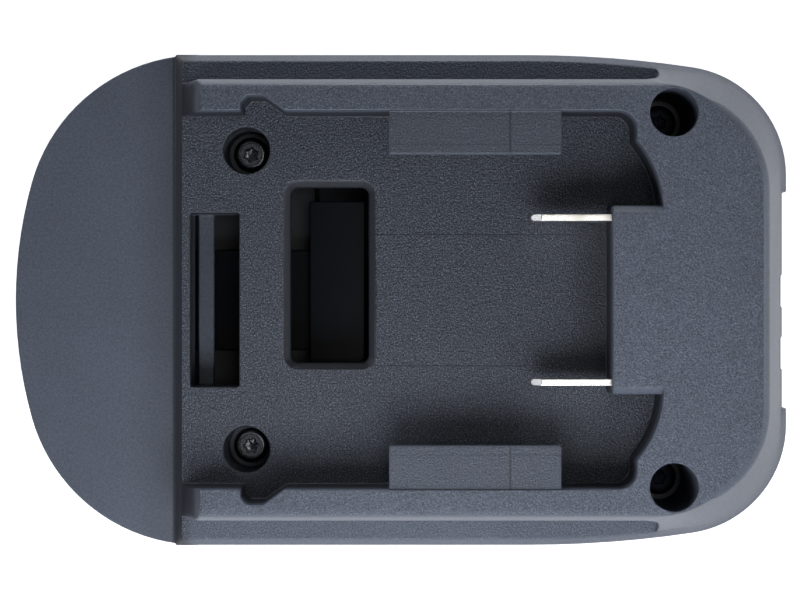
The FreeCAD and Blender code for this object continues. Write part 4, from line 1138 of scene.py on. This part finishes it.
@dataclass
class Studio:
    """White floor, bright horizon, dark ceiling, softboxes and the camera straight above."""

    camera_place: Triple = (-0.14 * MM, -0.39 * MM, 394.0 * MM)
    lens: float = 105.1
    sensor: float = 36.0
    clip: Pair = (0.01, 20.0)
    floor_size: float = 6.0
    floor_level: float = -0.0002
    floor_colour: Triple = (0.8, 0.8, 0.8)
    white: Triple = (1.0, 1.0, 1.0)
    whitening: Pair = (0.25, 0.6)
    horizon: Pair = (0.12, 0.55)
    ambient: float = 0.02
    ceiling_gloss: float = 0.05
    horizon_gloss: float = 0.9
    tint: Triple = (0.9, 0.97, 1.1)
    lamps: tuple[Softbox, ...] = (
        Softbox("key_softbox", -88.0, 52.0, 0.125, 0.06, 0.082),
        Softbox("front_right_softbox", -45.0, 42.0, 0.25, 0.11, 0.13),
        Softbox("front_left_softbox", -135.0, 38.0, 0.25, 0.11, 0.14),
        Softbox("low_front_softbox", -90.0, 18.0, 0.25, 0.11, 0.12),
        Softbox("right_softbox", 0.0, 18.0, 0.25, 0.11, 0.14),
        Softbox("far_softbox", 88.0, 10.0, 0.25, 0.1, 0.27),
        Softbox("far_left_softbox", 150.0, 20.0, 0.25, 0.11, 0.06),
        Softbox("blade_card", 0.0, 85.0, 0.6, 0.14, 0.19, (0.03, 0.0, 0.035), (1.0, 0.99, 0.97)),
    )

    @staticmethod
    def seen(sheet: NodeSheet, *rays: str) -> Signal:
        """1 for a ray of the given kinds, or else 0."""
        path = sheet.node("ShaderNodeLightPath")
        first, *others = (Signal(sheet, path.outputs[f"Is {ray} Ray"]) for ray in rays)
        for other in others:
            first = first.most(other)
        return first

    def floor(self) -> None:
        """Adds the white floor, which keeps the adapter's shadow and is clear from below."""
        bpy.ops.mesh.primitive_plane_add(size=self.floor_size, location=(0, 0, self.floor_level))
        plane = bpy.context.object
        plane.name = "studio_floor"
        material = bpy.data.materials.new("studio_white")
        sheet = NodeSheet(material)
        matte = sheet.node("ShaderNodeBsdfDiffuse", inputs={"Color": self.floor_colour})
        away = (sheet.axis("X") ** 2.0 + sheet.axis("Y") ** 2.0) ** 0.5
        white = sheet.blend(away.rises(*self.whitening), self.floor_colour, self.white)
        seen = self.seen(sheet, "Camera", "Glossy", "Transmission")
        glow = sheet.node("ShaderNodeEmission", inputs={"Color": white, "Strength": seen})
        both = sheet.node("ShaderNodeAddShader", inputs={0: matte.outputs[0], 1: glow.outputs[0]})
        below = sheet.node("ShaderNodeNewGeometry").outputs["Backfacing"]
        clear = sheet.node("ShaderNodeBsdfTransparent")
        surface = sheet.node("ShaderNodeMixShader", inputs={
            0: below, 1: both.outputs[0], 2: clear.outputs[0]})
        sheet.node("ShaderNodeOutputMaterial", inputs={"Surface": surface.outputs[0]})
        plane.data.materials.append(material)

    def surround(self) -> None:
        """Sets the surround: white to the camera, faint as light, bright-edged in reflections."""
        world = bpy.data.worlds.new("studio_surround")
        bpy.context.scene.world = world
        sheet = NodeSheet(world, "Generated")
        seen = self.seen(sheet, "Camera", "Transmission")
        mirrored = self.seen(sheet, "Glossy")
        height = sheet.axis("Z").rises(*self.horizon)
        gloss = self.horizon_gloss + height * (self.ceiling_gloss - self.horizon_gloss)
        level = (self.ambient + mirrored * (gloss - self.ambient)).most(seen)
        colour = sheet.blend(seen, self.tint, self.white)
        light = sheet.node("ShaderNodeBackground", inputs={"Color": colour, "Strength": level})
        sheet.node("ShaderNodeOutputWorld", inputs={"Surface": light.outputs[0]})

    def camera(self) -> None:
        """Hangs the camera straight above, with the picture's top towards +Y."""
        data = bpy.data.cameras.new("photo_camera")
        data.lens = self.lens
        data.sensor_width = self.sensor
        data.clip_start, data.clip_end = self.clip
        camera = bpy.data.objects.new("photo_camera", data)
        bpy.context.collection.objects.link(camera)
        camera.location = self.camera_place
        bpy.context.scene.camera = camera

    def build(self) -> None:
        """Builds the whole studio."""
        self.floor()
        self.surround()
        for lamp in self.lamps:
            lamp.hang()
        self.camera()
        bpy.context.scene.view_settings.view_transform = "Standard"
        LOG.info("studio built")


def screws(materials: dict[str, bpy.types.Material]) -> list[ScrewPair]:
    """Lists the adapter's pairs of screws.

    Args:
        materials: The materials by name.

    Returns:
        The pairs, ready to build.
    """
    shell = dict(rider=Rider.HOUSING, slot="black_steel", material=materials["black_steel"],
                 head_diameter=5.6 * MM, head_height=2.0 * MM, shank_diameter=3.0 * MM,
                 ring_width=0.12 * MM)
    small = dict(slot="zinc_steel", material=materials["zinc_steel"], drive=Drive.CROSS,
                 thread_pitch=0.9 * MM, thread_depth=0.25 * MM)
    carrier = dict(rider=Rider.HOUSING, head_diameter=4.4 * MM, head_height=1.6 * MM,
                   shank_diameter=2.5 * MM, drive_width=2.3 * MM, drive_depth=0.8 * MM, **small)
    return [
        ScrewPair("shell_screws_front", "front_shell_screws", **shell),
        # The rear screws take the darker copy of the black steel, painted shade for their deep
        # wells.
        ScrewPair("shell_screws_rear", "rear_shell_screws",
                  **(shell | {"material": materials["dark_steel"]})),
        ScrewPair("blade_carrier_screws", "blade_block_screws", head_down=True, **carrier),
        ScrewPair("clip_carrier_screws", "clip_block_screws", **carrier),
        ScrewPair("button_screws", "latch_button_screws", rider=Rider.LATCH, head_down=True,
                  head_diameter=3.2 * MM, head_height=1.2 * MM, shank_diameter=2.0 * MM,
                  drive_width=1.8 * MM, drive_depth=0.5 * MM, **small),
    ]


def main() -> None:
    """Dresses the adapter and builds the studio around it."""
    logging.basicConfig(level=logging.INFO, format="%(name)s: %(message)s")
    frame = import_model()
    finishes = Finishes()
    materials = {name: getattr(finishes, name).make() for name in finishes.__dataclass_fields__}
    Mouldings(frame["nodes"], materials).build()
    Contacts(frame["nodes"], materials).build()
    for pair in screws(materials):
        pair.build()
    MouldMarks(materials["witness_plastic"]).build()
    Studio().build()


if __name__ == "__main__":
    main()
